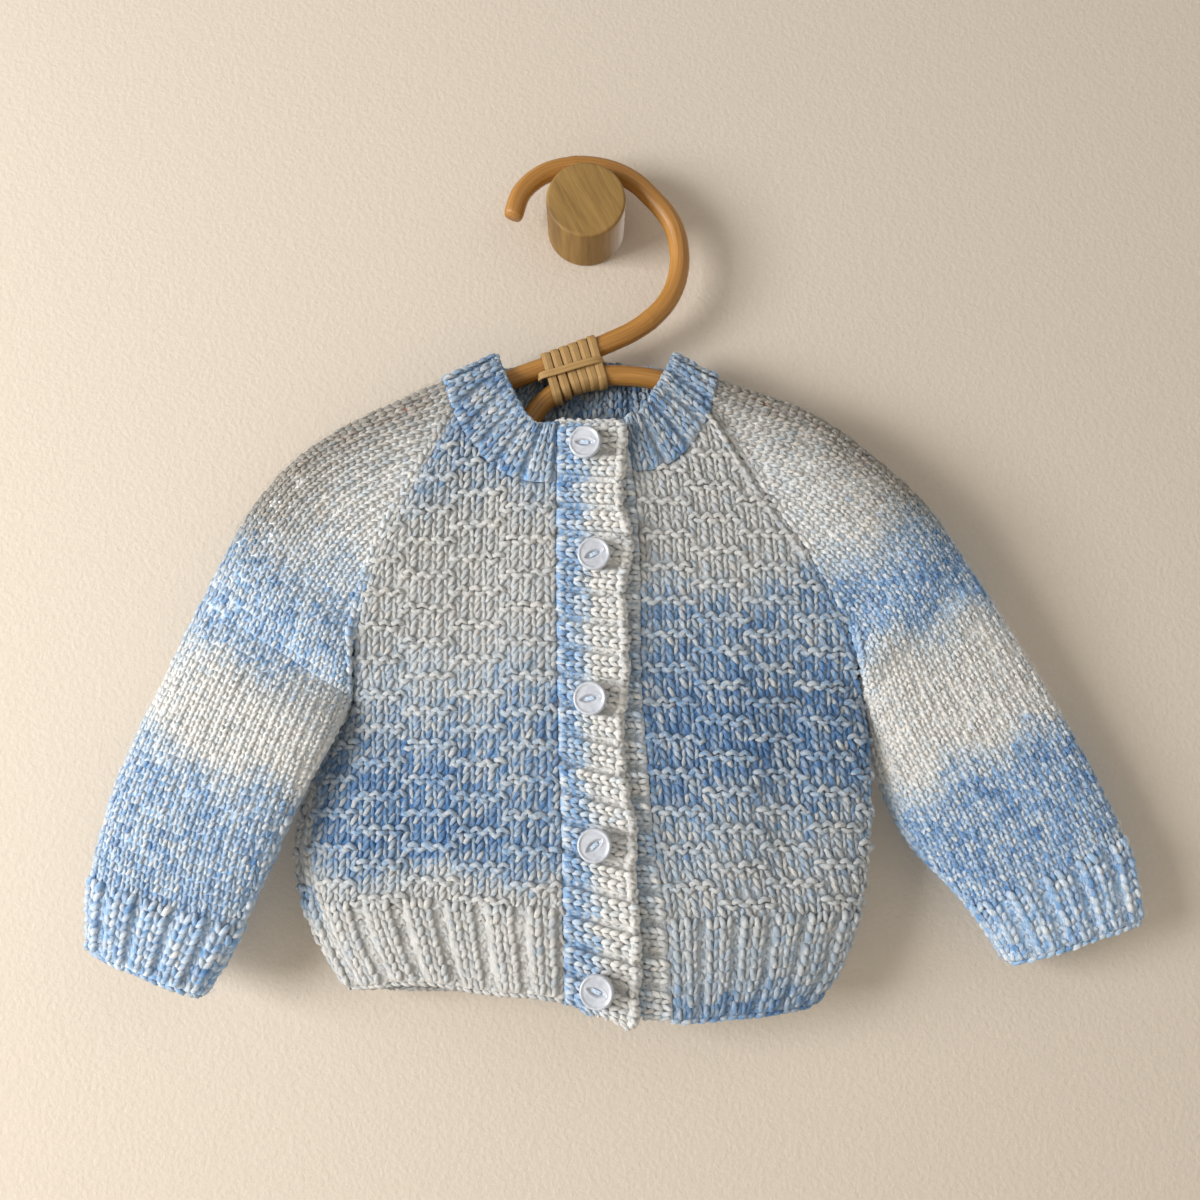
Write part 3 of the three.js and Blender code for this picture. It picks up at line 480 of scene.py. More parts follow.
def knit(yarn, frame_of, dye, foot=0.08, head=0.38, low=-0.6, high=0.8, full=0.24, slant=0.0, leg=LEG,
         speckle=SPECKLE, jitter=1.0):
    """Knit stitches: the two legs of each one, which spread from the foot to the head."""
    n = len(frame_of["centre"])
    random = yarn.random
    wander = random.normal(0, 0.13 * jitter, (n, 1, 2))
    lean = random.normal(0, 0.05 * jitter, (n, 1))
    for sign in (-1, 1):
        x = mix(foot, head, ease(0, 1, leg["t"]))[None] * sign + (lean + slant) * (leg["t"] - 0.5)
        y = mix(low, high, leg["t"])[None] + random.normal(0, 0.06 * jitter, (n, 1))
        width = frame_of["width"][:, None]
        thick = 1 - FAVOURED * sign + random.normal(0, 0.07 * jitter, (n, 1))
        raised = leg["depth"][None] - FAVOURED * sign + random.normal(0, 0.12 * jitter, (n, 1))
        raised = raised + wander[..., 1]
        path, outward = path_in(frame_of, x * width + wander[..., 0], y, raised)
        leg_dye = np.clip(dye * random.uniform(*speckle, n) + random.normal(0, 0.07, n), 0, 1)
        yarn.lay(path, outward, leg["radius"][None] * width * full * thick, leg_dye, turns=1.1)


# Stations along the bar of a purl stitch, which arches over the middle and dips at both sides
BAR = table(
    "x radius arch depth",
    (-0.64, 0.0, -0.34, -1.9),
    (-0.36, 0.92, -0.12, -0.8),
    (0.0, 1.06, 0.17, -0.35),
    (0.36, 0.92, -0.12, -0.8),
    (0.64, 0.0, -0.34, -1.9),
)


def purl(yarn, frame_of, dye, radius=1.18, rise=0.35, arch=1.0, jitter=1.0):
    """Purl stitches: a wavy line of bars that arch up, and between them lower ones that hang down."""
    n = len(frame_of["centre"])
    random = yarn.random
    for aside, drop, bend, deeper in ((0.0, 0.16, 1.0, 0.0), (0.5, -0.3, -0.9, -0.25)):
        x = (BAR["x"] + aside)[None] * frame_of["width"][:, None] + random.normal(0, 0.2 * jitter, (n, 1))
        y = BAR["arch"][None] * arch * bend * (1 + random.normal(0, 0.3 * jitter, (n, 1)))
        y = y + drop + random.normal(0, 0.1 * jitter, (n, 1))
        y = y + random.normal(0, 0.12 * jitter, (n, 1)) * BAR["x"][None]
        raised = BAR["depth"] + rise + deeper + random.normal(0, 0.14 * jitter, (n, 1))
        path, outward = path_in(frame_of, x, y, raised)
        thick = radius * (1 + random.normal(0, 0.08 * jitter, (n, 1)))
        yarn.lay(path, outward, BAR["radius"][None] * thick, dye, turns=1.5)


def edge_chain(yarn, points, outward, dye_at, step=3.6, width=4.2, tilt=0.0, full=0.25):
    """A chain of knit stitches that runs along a seam or edge."""
    run = run_of(points)
    count = max(2, int(run[-1] / step))
    marks = np.linspace(0, run[-1], count + 1)
    place = at_run(points, run, marks)
    facing = unit(at_run(outward, run, marks))
    up = place[:-1] - place[1:]
    centre = (place[:-1] + place[1:]) / 2
    facing = unit(facing[:-1] + facing[1:])
    across = unit(np.cross(up, facing))
    facing = unit(facing + across * tilt)
    across = unit(np.cross(up, facing))
    widths = np.full(count, width)
    frame_of = {"centre": centre, "up": up, "across": across, "outward": facing, "width": widths}
    knit(yarn, frame_of, dye_at(centre), full=full, high=0.85)


def rib_wave(share):
    """How high a two by two rib stands: 0 in the furrows and 1 on the ridges."""
    return np.sin(np.pi * (share % 1)) ** 0.6


def dye_from(bands, patches):
    """The blue of a panel: wavy bands by height, and soft patches."""
    def dye_at(points):
        x, z = points[..., 0], points[..., 2]
        height = z + 3.0 * np.sin(x * 0.11 + z * 0.03) + 1.6 * np.sin(x * 0.31 + 1.7)
        found = np.interp(height, bands["height"], bands["blue"])
        for patch_x, patch_z, wide, high, blue in zip(*patches.values()):
            off = ((x - patch_x) / wide) ** 2 + ((z - patch_z) / high) ** 2
            found = found + blue * np.exp(-off)
        return np.clip(found, 0, 1)
    return dye_at


def marled(yarn, dye):
    """Each stitch's own share of the dye."""
    own = dye * (1 + yarn.random.normal(0, 0.16, dye.shape))
    return np.clip(own + yarn.random.normal(0, 0.03, dye.shape), 0, 1)


def node(tree, kind, settings=None, **inputs):
    """A shader node whose inputs, named or by number as i0, are values or other nodes' sockets."""
    made = tree.nodes.new(kind)
    for key, value in (settings or {}).items():
        setattr(made, key, value)
    for key, value in inputs.items():
        by_number = key[0] == "i" and key[1:].isdigit()
        socket = made.inputs[int(key[1:]) if by_number else key.replace("_", " ")]
        if isinstance(value, bpy.types.NodeSocket):
            tree.links.new(value, socket)
        else:
            socket.default_value = value
    return made


def sums(tree, operation, a, b=0.0, c=0.0):
    return node(tree, "ShaderNodeMath", {"operation": operation}, i0=a, i1=b, i2=c).outputs[0]


def srgb(code):
    """A colour as it is written for a screen, made linear."""
    parts = [int(code[i:i + 2], 16) / 255 for i in (0, 2, 4)]
    return (*(p / 12.92 if p <= 0.04045 else ((p + 0.055) / 1.055) ** 2.4 for p in parts), 1)


def ramp(tree, value, stops):
    """A colour ramp through stops, which is a place and a colour for each."""
    made = node(tree, "ShaderNodeValToRGB", i0=value)
    points = made.color_ramp.elements
    while len(points) < len(stops):
        points.new(1.0)
    for point, (place, colour) in zip(points, stops.items()):
        point.position = place
        point.color = srgb(colour)
    return made.outputs[0]


def blended(tree, share, first, second, blend_type="MIX"):
    settings = {"data_type": "RGBA", "blend_type": blend_type}
    return node(tree, "ShaderNodeMix", settings, i0=share, i6=first, i7=second).outputs[2]


def new_group(name, inputs, outputs):
    """A node group, the sockets that come into it and the sockets that it gives."""
    group = bpy.data.node_groups.new(name, "ShaderNodeTree")
    for in_out, sockets in (("INPUT", inputs), ("OUTPUT", outputs)):
        for socket, kind in sockets.items():
            group.interface.new_socket(socket, in_out=in_out, socket_type="NodeSocket" + kind)
    return group, group.nodes.new("NodeGroupInput").outputs, group.nodes.new("NodeGroupOutput").inputs


def new_material(name, colour_of, relief, **settings):
    """A material. colour_of gives its colour and relief's height from its tree; relief is a strength and
    a distance, and settings are the Principled node's own."""
    material = bpy.data.materials.new(name)
    material.use_nodes = True
    tree = material.node_tree
    colour, height = colour_of(tree)
    bump = node(tree, "ShaderNodeBump", Strength=relief[0], Distance=relief[1], Height=height)
    surface = tree.nodes["Principled BSDF"]
    tree.links.new(colour, surface.inputs["Base Color"])
    tree.links.new(bump.outputs[0], surface.inputs["Normal"])
    for key, value in settings.items():
        surface.inputs[key.replace("_", " ")].default_value = value
    return material


def object_place(tree):
    return node(tree, "ShaderNodeTexCoord").outputs["Object"]


def painted(tree, name):
    return node(tree, "ShaderNodeAttribute", {"attribute_name": name}).outputs["Fac"]


# The yarn's colour: a white ply and a dyed ply twisted round each other, with loose fibres
yarn_sockets = {"Dye": "Float", "Ply": "Vector", "Shade": "Float"}
ply_group, source, result = new_group("marled yarn", yarn_sockets, {"Colour": "Color", "Height": "Float"})
g = ply_group
parts = node(g, "ShaderNodeSeparateXYZ", i0=source["Ply"]).outputs
turn = sums(g, "ADD", parts[0], parts[1])
wave = sums(g, "SINE", sums(g, "MULTIPLY", turn, 2 * math.pi))
stretch = node(
    g, "ShaderNodeCombineXYZ",
    i0=sums(g, "MULTIPLY", turn, 11.0), i1=sums(g, "MULTIPLY", parts[1], 1.2), i2=0.0,
).outputs[0]
fibres = node(g, "ShaderNodeTexNoise", Vector=stretch, Scale=2.2, Detail=3.0, Roughness=0.6).outputs[0]
blend = sums(g, "ADD", sums(g, "MULTIPLY", wave, 0.3), sums(g, "MULTIPLY_ADD", fibres, 3.2, -1.1))
smooth = {"interpolation_type": "SMOOTHSTEP"}
plied = node(g, "ShaderNodeMapRange", smooth, Value=blend, From_Min=0.15, From_Max=0.85).outputs[0]
white = ramp(g, source["Dye"], {0.0: "f1f0ed", 0.5: "d9e2ec", 1.0: "8aa9cd"})
dyed = ramp(g, source["Dye"], {0.0: "dcdcda", 0.25: "bccddb", 0.6: "7aabd9", 1.0: "4584c6"})
shade = source["Shade"]
grey = node(g, "ShaderNodeCombineColor", i0=shade, i1=shade, i2=shade).outputs[0]
g.links.new(blended(g, 1.0, blended(g, plied, white, dyed), grey, "MULTIPLY"), result["Colour"])
ridges = sums(g, "MULTIPLY", sums(g, "ABSOLUTE", wave), 0.7)
g.links.new(sums(g, "ADD", ridges, sums(g, "MULTIPLY", fibres, 1.4)), result["Height"])


def wool(name, shade=1.0, bump=0.7):
    """The yarn of one panel, read from the dye that each stitch took. It is greyer where it is thin over the
    shoulder tops: partly the cane showing through the stretched knit, partly painted shade.
    """
    def colour_of(tree):
        ply = node(tree, "ShaderNodeUVMap", {"uv_map": "ply"}).outputs[0]
        inputs = {"Dye": painted(tree, "dye"), "Ply": ply, "Shade": shade}
        yarn = node(tree, "ShaderNodeGroup", {"node_tree": ply_group}, **inputs).outputs
        # Greyed towards b6afa6 over the shoulder tops: painted shade there, and partly the cane showing
        # through the stretched knit
        thin_and_shaded = blended(tree, painted(tree, "thin"), yarn["Colour"], srgb("b6afa6"), "MULTIPLY")
        return thin_and_shaded, yarn["Height"]

    return new_material(
        name, colour_of, (bump, 0.0007),
        Roughness=0.9, Sheen_Weight=0.25, Sheen_Roughness=0.6, Specular_IOR_Level=0.12,
    )


def cloth(name, shade=0.9):
    """The sheet under the stitches: the same yarn in the shade, with the loops' backs as bumps.

    Where it is thin, it is stretched over the cane, which shows through."""
    def colour_of(tree):
        place = object_place(tree)
        loops = node(tree, "ShaderNodeTexNoise", Vector=place, Scale=520.0, Detail=2.0, Roughness=0.6)
        scale = {"operation": "MULTIPLY"}
        ply = node(tree, "ShaderNodeVectorMath", scale, i0=place, i1=(320.0, 320.0, 90.0))
        inputs = {"Dye": painted(tree, "dye"), "Ply": ply.outputs[0], "Shade": shade}
        yarn = node(tree, "ShaderNodeGroup", {"node_tree": ply_group}, **inputs).outputs
        return blended(tree, painted(tree, "thin"), yarn["Colour"], srgb("7d4c30")), loops.outputs[0]

    return new_material(name, colour_of, (0.7, 0.0012), Roughness=0.95)


YOKE_COURSES = 35
BODY_COURSES = 24
RIB_COURSES = 9
FRONT_RIBS = 6
body_downs = np.concatenate([
    np.linspace(0, HEM_RIB, BODY_COURSES + 1),
    np.linspace(HEM_RIB, 1, RIB_COURSES + 1)[1:],
])


def dashes(rows, columns, first=0):
    """Where the purl dashes lie: four stitches long, every fourth course, staggered."""
    course = np.arange(rows)[:, None] + 2 * ((np.arange(columns)[None] // 4) % 2) + first
    return course % 4 == 0


# Loose fibres: how many there are to each rib of a row, and how thick each is at its middle
FIBRES = 9
FIBRE_RADIUS = 0.04
FIBRE_POINTS = 5
FIBRE_FACES = np.array([[0, 1, 2], [0, 2, 3], [0, 3, 1], [4, 2, 1], [4, 3, 2], [4, 1, 3]])


def fuzz(yarn, grid, outward, rise, dye_at, count):
    """Loose fibres that stand off the yarn: thin closed spindles, each one bent at its middle."""
    random = yarn.random
    r = random.integers(0, grid.shape[0] - 1, count)
    c = random.integers(0, grid.shape[1] - 1, count)
    share = random.random((2, count, 1))
    above, below = [mix(grid[row, c], grid[row, c + 1], share[0]) for row in (r, r + 1)]
    up = outward[r, c]
    place = mix(above, below, share[1]) + up * (rise[r, c] + 0.15)[:, None]
    along = random.normal(0, 1, (count, 3))
    along = unit(along - up * (along * up).sum(-1, keepdims=True) * 0.8)
    side = unit(np.cross(up, along))
    length = random.uniform(1.5, 5.5, (count, 1))
    start = place - along * length / 2 - up * 0.2
    end = place + along * length / 2 + up * random.uniform(-0.3, 1.5, (count, 1))
    middle = place + up * random.uniform(0.3, 1.4, (count, 1)) + side * random.normal(0, 0.7, (count, 1))
    angle = np.radians([0, 120, 240])[None, :, None]
    ring = middle[:, None] + (side[:, None] * np.sin(angle) + up[:, None] * np.cos(angle)) * FIBRE_RADIUS
    block = np.concatenate([start[:, None], ring, end[:, None]], 1)
    base = yarn.count + np.arange(count)[:, None, None] * FIBRE_POINTS
    yarn.positions.append(block.reshape(-1, 3))
    yarn.tips.append((base + FIBRE_FACES[None]).reshape(-1, 3))
    yarn.tip_maps.append(np.repeat(random.random((count, 2)), FIBRE_FACES.size, axis=0))
    yarn.dyes.append(np.repeat(dye_at(place) * 0.8, FIBRE_POINTS))
    yarn.count += count * FIBRE_POINTS


BODY_LEGS = {
    "foot": 0.1, "head": 0.4, "low": -0.62, "high": 0.92, "full": 0.205, "slant": -0.22,
    "speckle": (0.3, 1.4),
}
SLEEVE_LEGS = {
    "foot": 0.1, "head": 0.4, "low": -0.62, "high": 0.94, "full": 0.222, "slant": -0.12,
    "speckle": (0.55, 1.3), "leg": SHORT_LEG,
}
# Multipliers on the colour of the yarn and of the sheet under it, though all is one yarn: painted shade on
# the body's yarn, and more on its sheet as the shade in its more openly knitted gaps; painted light on the
# sleeves' yarn
BODY_PAINTED_SHADE, SLEEVE_PAINTED_LIGHT = (0.76, 0.64), (1.05, 1.0)
# Points of a sheet across each rib, and steps of a course across each rib
SHEET_STEPS, RIB_STEPS = 8, 12


def knit_panel(name, face, rows, raised, ribs, courses, runs, edge, dye_at, seed, keep=None, purled=None,
               legs=BODY_LEGS, painted_shading=BODY_PAINTED_SHADE, thin_at=None, thin_and_shaded_at=None):
    """A knitted panel: its sheet, its stitches, the chains along its seams, and its rib."""
    slot = name + "_knit"
    # The yarn and the sheet take the panel's painted shading: painted shade on the body, painted light on
    # the sleeves' yarn
    material = wool(name + " wool", painted_shading[0])
    grid = np.array([spread(row, ribs * SHEET_STEPS) for row in rows])
    outward = outward_of(grid, face)
    rise = RIB_RISE * rib_wave(np.linspace(0, ribs, ribs * SHEET_STEPS + 1))[None] * raised[:, None]
    thin = thin_at(grid) if thin_at else None
    lining = cloth(name + " sheet", painted_shading[1])
    sheet = shell_piece(name + "_cloth", grid, outward, rise, dye_at(grid), lining, thin, -0.85, 1.3)
    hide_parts(name)

    yarn = Yarn(seed)
    net = place_columns(courses, runs, face)
    if keep is not None:
        net["inside"] &= keep(net["place"])
    if purled is None:
        purled = np.zeros((len(courses) - 1, runs.shape[1]), bool)
    width = runs[0, 1] - runs[0, 0]
    knitted = cells(net, ~purled, width)
    knit(yarn, knitted, marled(yarn, dye_at(knitted["centre"])), **legs)
    barred = cells(net, purled, width)
    purl(yarn, barred, marled(yarn, dye_at(barred["centre"]) * 0.6), rise=0.5)
    for side, beside in ((0, 1), (-1, -2)):
        line = grid[:, side] + unit(grid[:, beside] - grid[:, side]) * 1.9
        edge_chain(yarn, line, outward[:, side], lambda p: marled(yarn, dye_at(p)))
    fuzz(yarn, grid, outward, rise, dye_at, int(grid.shape[0] * ribs * FIBRES))
    # The stitches take the sleeve's greying over the shoulder tops, which is in part painted shade
    stitches = yarn.piece(name + "_stitches", material, slot, thin_and_shaded_at)

    rib = Yarn(seed + 1)
    two_by_two(rib, edge, ribs, face, dye_at)
    hem = rib.piece(name + "_rib", material, slot)
    return grid


def two_by_two(yarn, courses, ribs, face, dye_at, rise=0.95, furrow_rise=-0.5, end=-1, edge_full=0.27,
               edge_tilt=0.0, high=0.85):
    """Two by two rib: two knit columns on each ridge, bars in each furrow, and loops along one end."""
    if len(courses[0]) != RIB_STEPS * ribs + 1:
        courses = [spread(course, RIB_STEPS * ribs, 0, 0) for course in courses]
    runs = [run_of(course) for course in courses]

    def columns(shares):
        return np.array([np.interp(shares * RIB_STEPS, np.arange(len(run)), run) for run in runs])

    spacing = np.median([run[-1] for run in runs]) / ribs
    wide = min(0.37, 4.7 / spacing)
    ridge = columns((np.arange(ribs)[:, None] + 0.5 + np.array([-0.5, 0.5]) * wide).ravel())
    furrow = columns(np.concatenate([[0.06], np.arange(1, ribs), [ribs - 0.06]]))
    pitch = np.repeat((ridge[:, 1::2] - ridge[:, ::2]) / wide, 2, axis=1)[:-1]
    net = place_columns(courses, ridge, face)
    net["inside"][:] = True
    frames = cells(net, np.ones(pitch.shape, bool), pitch * wide, rise)
    ridge_dye = marled(yarn, dye_at(frames["centre"]))
    knit(yarn, frames, ridge_dye, low=-0.6, high=high, full=0.265, foot=0.1, head=0.4)
    net = place_columns(courses, furrow, face)
    net["inside"][:] = True
    gaps = np.gradient(furrow, axis=1)[:-1]
    frames = cells(net, np.ones(gaps.shape, bool), np.clip(gaps, 5, None) * (1 - 2 * wide) * 0.62, 0.0)
    furrow_dye = marled(yarn, dye_at(frames["centre"]))
    purl(yarn, frames, furrow_dye, radius=1.1, rise=furrow_rise, arch=1.4, jitter=1.5)
    facing = unit(at_run(net["outward"][end], furrow[end], runs[end]))
    line = courses[end] + facing * (rise * rib_wave(np.linspace(0, ribs, len(facing))) - 0.7)[:, None]
    loops = {"step": 3.4, "width": 3.8, "full": edge_full, "tilt": edge_tilt}
    edge_chain(yarn, line, facing, lambda p: marled(yarn, dye_at(p)), **loops)


SHEET_UPS, SHEET_DOWNS = np.linspace(1, 0.04, 30), np.linspace(0, 1, 41)
HEM_RAISED = np.concatenate([np.zeros(len(SHEET_UPS)), ease(HEM_RIB, HEM_RIB + 0.04, SHEET_DOWNS)])


def front_panel(name, left_side, dye_at, seed, first):
    """One front, in columns counted from the front band."""
    rows = [front_yoke_row(up, left_side) for up in SHEET_UPS]
    rows += [front_body_row(down, left_side) for down in SHEET_DOWNS]
    heights = UNDERARM + COURSE * np.arange(YOKE_COURSES, 0, -1)
    courses = [front_level_row(height, left_side) for height in heights]
    courses += [front_body_row(down, left_side) for down in body_downs[:BODY_COURSES + 1]]
    columns = 24
    runs = np.tile((np.arange(columns) + 0.5) * STITCH, (len(courses), 1))
    hem = [front_body_row(down, left_side) for down in body_downs[BODY_COURSES:]]
    return knit_panel(
        name, 1 if left_side else -1, rows, HEM_RAISED, FRONT_RIBS, courses, runs, hem, dye_at, seed,
        keep=lambda p: p[..., 2] < front_neckline(p[..., 0], left_side) + 1,
        purled=dashes(len(courses) - 1, columns, first),
    )


front_right_bands = table(
    "height blue",
    (-320, 0.02), (-284, 0.02), (-274, 0.05), (-267, 0.22), (-261, 0.7), (-250, 1), (-236, 1),
    (-224, 0.84), (-208, 0.62), (-196, 0.38), (-184, 0.22), (-172, 0.1), (-140, 0.06),
    (-131, 0.12), (-123, 0.36), (-113, 0.5), (-98, 0.62),
)
front_right_patches = table(
    "x z wide high blue",
    (-62, -246, 22, 16, 0.25),
    (-24, -236, 17, 16, -0.34),
    (-70, -205, 16, 12, -0.15),
    (-22, -196, 14, 10, 0.1),
)
front_right_dye = dye_from(front_right_bands, front_right_patches)
front_right = front_panel("front_right", True, front_right_dye, 11, 0)

# The wearer's left front, at the viewer's right: the same knitting, from a ball that stood at
# another place in its blues. It runs on under the button band's seam.
front_left_bands = table(
    "height blue",
    (-320, 0.85), (-310, 0.8), (-303, 0.35), (-285, 0.25), (-262, 0.3), (-244, 0.45),
    (-232, 0.8), (-215, 0.95), (-196, 0.8), (-180, 0.72), (-166, 0.62), (-158, 0.35),
    (-148, 0.1), (-100, 0.08),
)
front_left_patches = table(
    "x z wide high blue",
    (94, -215, 18, 16, 0.2),
    (52, -200, 18, 14, 0.2),
    (90, -155, 16, 10, 0.3),
    (38, -250, 14, 14, 0.15),
)
front_left_dye = dye_from(front_left_bands, front_left_patches)
front_left = front_panel("front_left", False, front_left_dye, 21, 1)

# The back: one piece from side fold to side fold, a little higher at the neck than the fronts.
# On the left it comes round the fold to the front, where the side seam shows.
BACK_NECK_DIP = 3
BACK_NECK_RISE = 6
BACK_RIBS = 16


def back_row(left, right, depth, height_at):
    left_half = half_row(1, left[0], left[1], depth, MIDDLE, height_at)
    right_half = half_row(1, right[0], right[1], depth, MIDDLE, height_at)
    return np.concatenate([left_half[::-1], right_half[1:]])


def back_yoke_row(up):
    left, right = read(LEFT_RAGLAN, up), read(RIGHT_RAGLAN, up)

    def height_at(x):
        share = (x - left["x"]) / (right["x"] - left["x"])
        dip = 4 * share * (1 - share) * BACK_NECK_DIP * up * up
        return mix(left["z"], right["z"], share) + BACK_NECK_RISE * up * up - dip

    depth = read(DEPTHS, height_at(MIDDLE))["back"]
    return back_row((left["x"], left["back"]), (right["x"], right["back"]), depth, height_at)


def back_body_row(down):
    outline = read(BODY_OUTLINE, down)
    height_at = body_height(down, outline, False)
    depth = read(DEPTHS, height_at(MIDDLE))["back"]
    left, right = (outline["left"], outline["left_fold"]), (outline["right"], outline["right_fold"])
    row = back_row(left, right, depth, height_at)
    wrap = max(outline["wrap"], 0.0)
    if wrap < 0.05:
        return row
    from_x = read(BUTTONHOLE_SEAM, height_at(-9))["x"]
    height_front = body_height(down, outline, True)
    depth_front = read(DEPTHS, height_front(MIDDLE))["front"]
    front = lifted(half_row(-1, outline["left"], outline["left_fold"], depth_front, from_x, height_front))
    run = run_of(front)
    wrapped = at_run(front, run, np.linspace(run[-1] - wrap, run[-1], 13)[:-1])
    return np.concatenate([wrapped, row])


def back_level_row(height):
    left = raglan_at_height(LEFT_RAGLAN, height, BACK_NECK_RISE)
    right = raglan_at_height(RIGHT_RAGLAN, height, BACK_NECK_RISE)
    depth = read(DEPTHS, height)["back"]
    return back_row((left["x"], left["back"]), (right["x"], right["back"]), depth, lambda x: height + 0 * x)


def back_neckline(x):
    left, right = read(LEFT_RAGLAN, 1.0), read(RIGHT_RAGLAN, 1.0)
    share = np.clip((x - left["x"]) / (right["x"] - left["x"]), 0, 1)
    return mix(left["z"], right["z"], share) + BACK_NECK_RISE - 4 * share * (1 - share) * BACK_NECK_DIP


def back_panel(dye_at, seed):
    rows = [back_yoke_row(up) for up in SHEET_UPS] + [back_body_row(down) for down in SHEET_DOWNS]
    heights = UNDERARM + COURSE * np.arange(YOKE_COURSES + 2, 0, -1)
    courses = [back_level_row(height) for height in heights]
    courses += [back_body_row(down) for down in body_downs[:BODY_COURSES + 1]]
    columns = 52
    offsets = (np.arange(columns) - columns / 2 + 0.5) * STITCH
    middles = [run_of(course)[np.argmin(np.abs(course[:, 0] - MIDDLE))] for course in courses]
    runs = np.array(middles)[:, None] + offsets[None]
    hem = [back_body_row(down) for down in body_downs[BODY_COURSES:]]
    return knit_panel(
        "back", 1, rows, HEM_RAISED, BACK_RIBS, courses, runs, hem, dye_at, seed,
        keep=lambda p: p[..., 2] < back_neckline(p[..., 0]) + 1,
        purled=dashes(len(courses) - 1, columns, 1),
    )


back_bands = table(
    "height blue",
    (-320, 0.04), (-285, 0.08), (-280, 0.5), (-272, 0.6), (-267, 0.1), (-238, 0.1),
    (-226, 0.55), (-210, 0.72), (-190, 0.72), (-165, 0.45), (-150, 0.2), (-140, 0.12),
    (-90, 0.15),
)
back_patches = table(
    "x z wide high blue",
    (-50, -215, 22, 14, -0.2),
    (44, -178, 24, 12, 0.2),
    (80, -240, 18, 12, 0.2),
)
back_dye = dye_from(back_bands, back_patches)
back_panel(back_dye, 31)

# The sleeves: each is knitted in plain stocking stitch from the raglan down, with its seam under
# the arm, so its columns run along the fold on top and are lost one by one at that seam.
RIDGE_DEPTH = -15
RIDGE_REACH = 26
SLEEVE_SHAPE = 2.8
CUFF_RIB = 0.78
CUFF_RIBS = 10
SLEEVE_STITCH = 3.7
LEFT_RIDGE = table(
    "up x z",
    (0, -148, -162), (0.25, -133, -131), (0.5, -116, -108), (0.75, -93, -91), (1, -57, -73),
)
RIGHT_RIDGE = table(
    "up x z",
    (0, 152, -151), (0.25, 136, -126), (0.5, 114, -104), (0.75, 88, -85), (1, 53, -72),
)
LEFT_SLEEVE = table(
    "down out_x out_z in_x in_z half out_y in_y",
    (0, -148, -162, -88.3, -199.7, 13, -15.5, -17),
    (0.2, -159, -191, -94.5, -217, 11.5, -19, -26),
    (0.42, -169, -217, -105, -238, 10.5, -22, -27),
    (0.62, -177, -243, -115, -262, 10, -23, -26),
    (0.81, -181, -269, -126, -287, 9, -23, -25),
    (1, -180, -290, -137, -306.5, 8.5, -22, -24),
)
RIGHT_SLEEVE = table(
    "down out_x out_z in_x in_z half out_y in_y",
    (0, 152, -151, 106.3, -199.7, 13, -15.5, -17),
    (0.2, 169, -179, 110, -222, 11, -14.5, -13.5),
    (0.42, 183, -204, 119.5, -248, 9.5, -14, -13),
    (0.62, 196, -230, 132, -264, 9, -14, -13),
    (0.81, 206, -256, 147, -280, 8.5, -14, -13.5),
    (1, 209, -281, 158, -297, 8.5, -14, -14),
)
RIDGE = {True: LEFT_RIDGE, False: RIGHT_RIDGE}
SLEEVE = {True: LEFT_SLEEVE, False: RIGHT_SLEEVE}
YOKE_UPS = np.linspace(1, 0, 44)
LOWER_COURSES = 40
# The courses that the sleeves' bands of blue are counted in
DYE_COURSES = 74
CUFF_COURSES = 8


def sleeve_side(outer, edge, sign, half, open_share):
    """Half of a row of a sleeve, from the fold on top to the edge on one side of the seam."""
    a = (1 - np.cos(np.pi * np.linspace(0, 1, 51))) / 2
    width = math.hypot(edge[0] - outer[0], edge[2] - outer[2])
    quicken = width / min(width, RIDGE_REACH)
    shut = (1 - np.abs(2 * a - 1) ** SLEEVE_SHAPE) ** (1 / SLEEVE_SHAPE)
    wide = (1 - (1 - np.minimum(1, a * quicken)) ** SLEEVE_SHAPE) ** (1 / SLEEVE_SHAPE)
    to_edge = edge[1] - outer[1]
    depth = open_share * to_edge * wide + (1 - open_share) * (sign * half * shut + to_edge * a)
    return np.stack([mix(outer[0], edge[0], a), outer[1] + depth, mix(outer[2], edge[2], a)], -1)


def sleeve_row(outer, front_edge, back_edge, half, open_share):
    front = sleeve_side(outer, front_edge, -1, half, open_share)
    rear = sleeve_side(outer, back_edge, 1, half, open_share)
    return np.concatenate([front[::-1], rear[1:]])


def sleeve_yoke_row(up, left_side):
    seam = read(RAGLAN[left_side], up)
    top = read(RIDGE[left_side], up)
    front_edge = (seam["x"], seam["front"], seam["z"])
    back_edge = (seam["x"], seam["back"], seam["z"] + BACK_NECK_RISE * up * up)
    half, opened = LEFT_SLEEVE["half"][0], float(ease(0, 0.3, up))
    return sleeve_row((top["x"], RIDGE_DEPTH, top["z"]), front_edge, back_edge, half, opened)


def sleeve_lower_row(down, left_side):
    row = read(SLEEVE[left_side], down)
    inner = (row["in_x"], row["in_y"], row["in_z"])
    return sleeve_row((row["out_x"], row["out_y"], row["out_z"]), inner, inner, row["half"], 0.0)


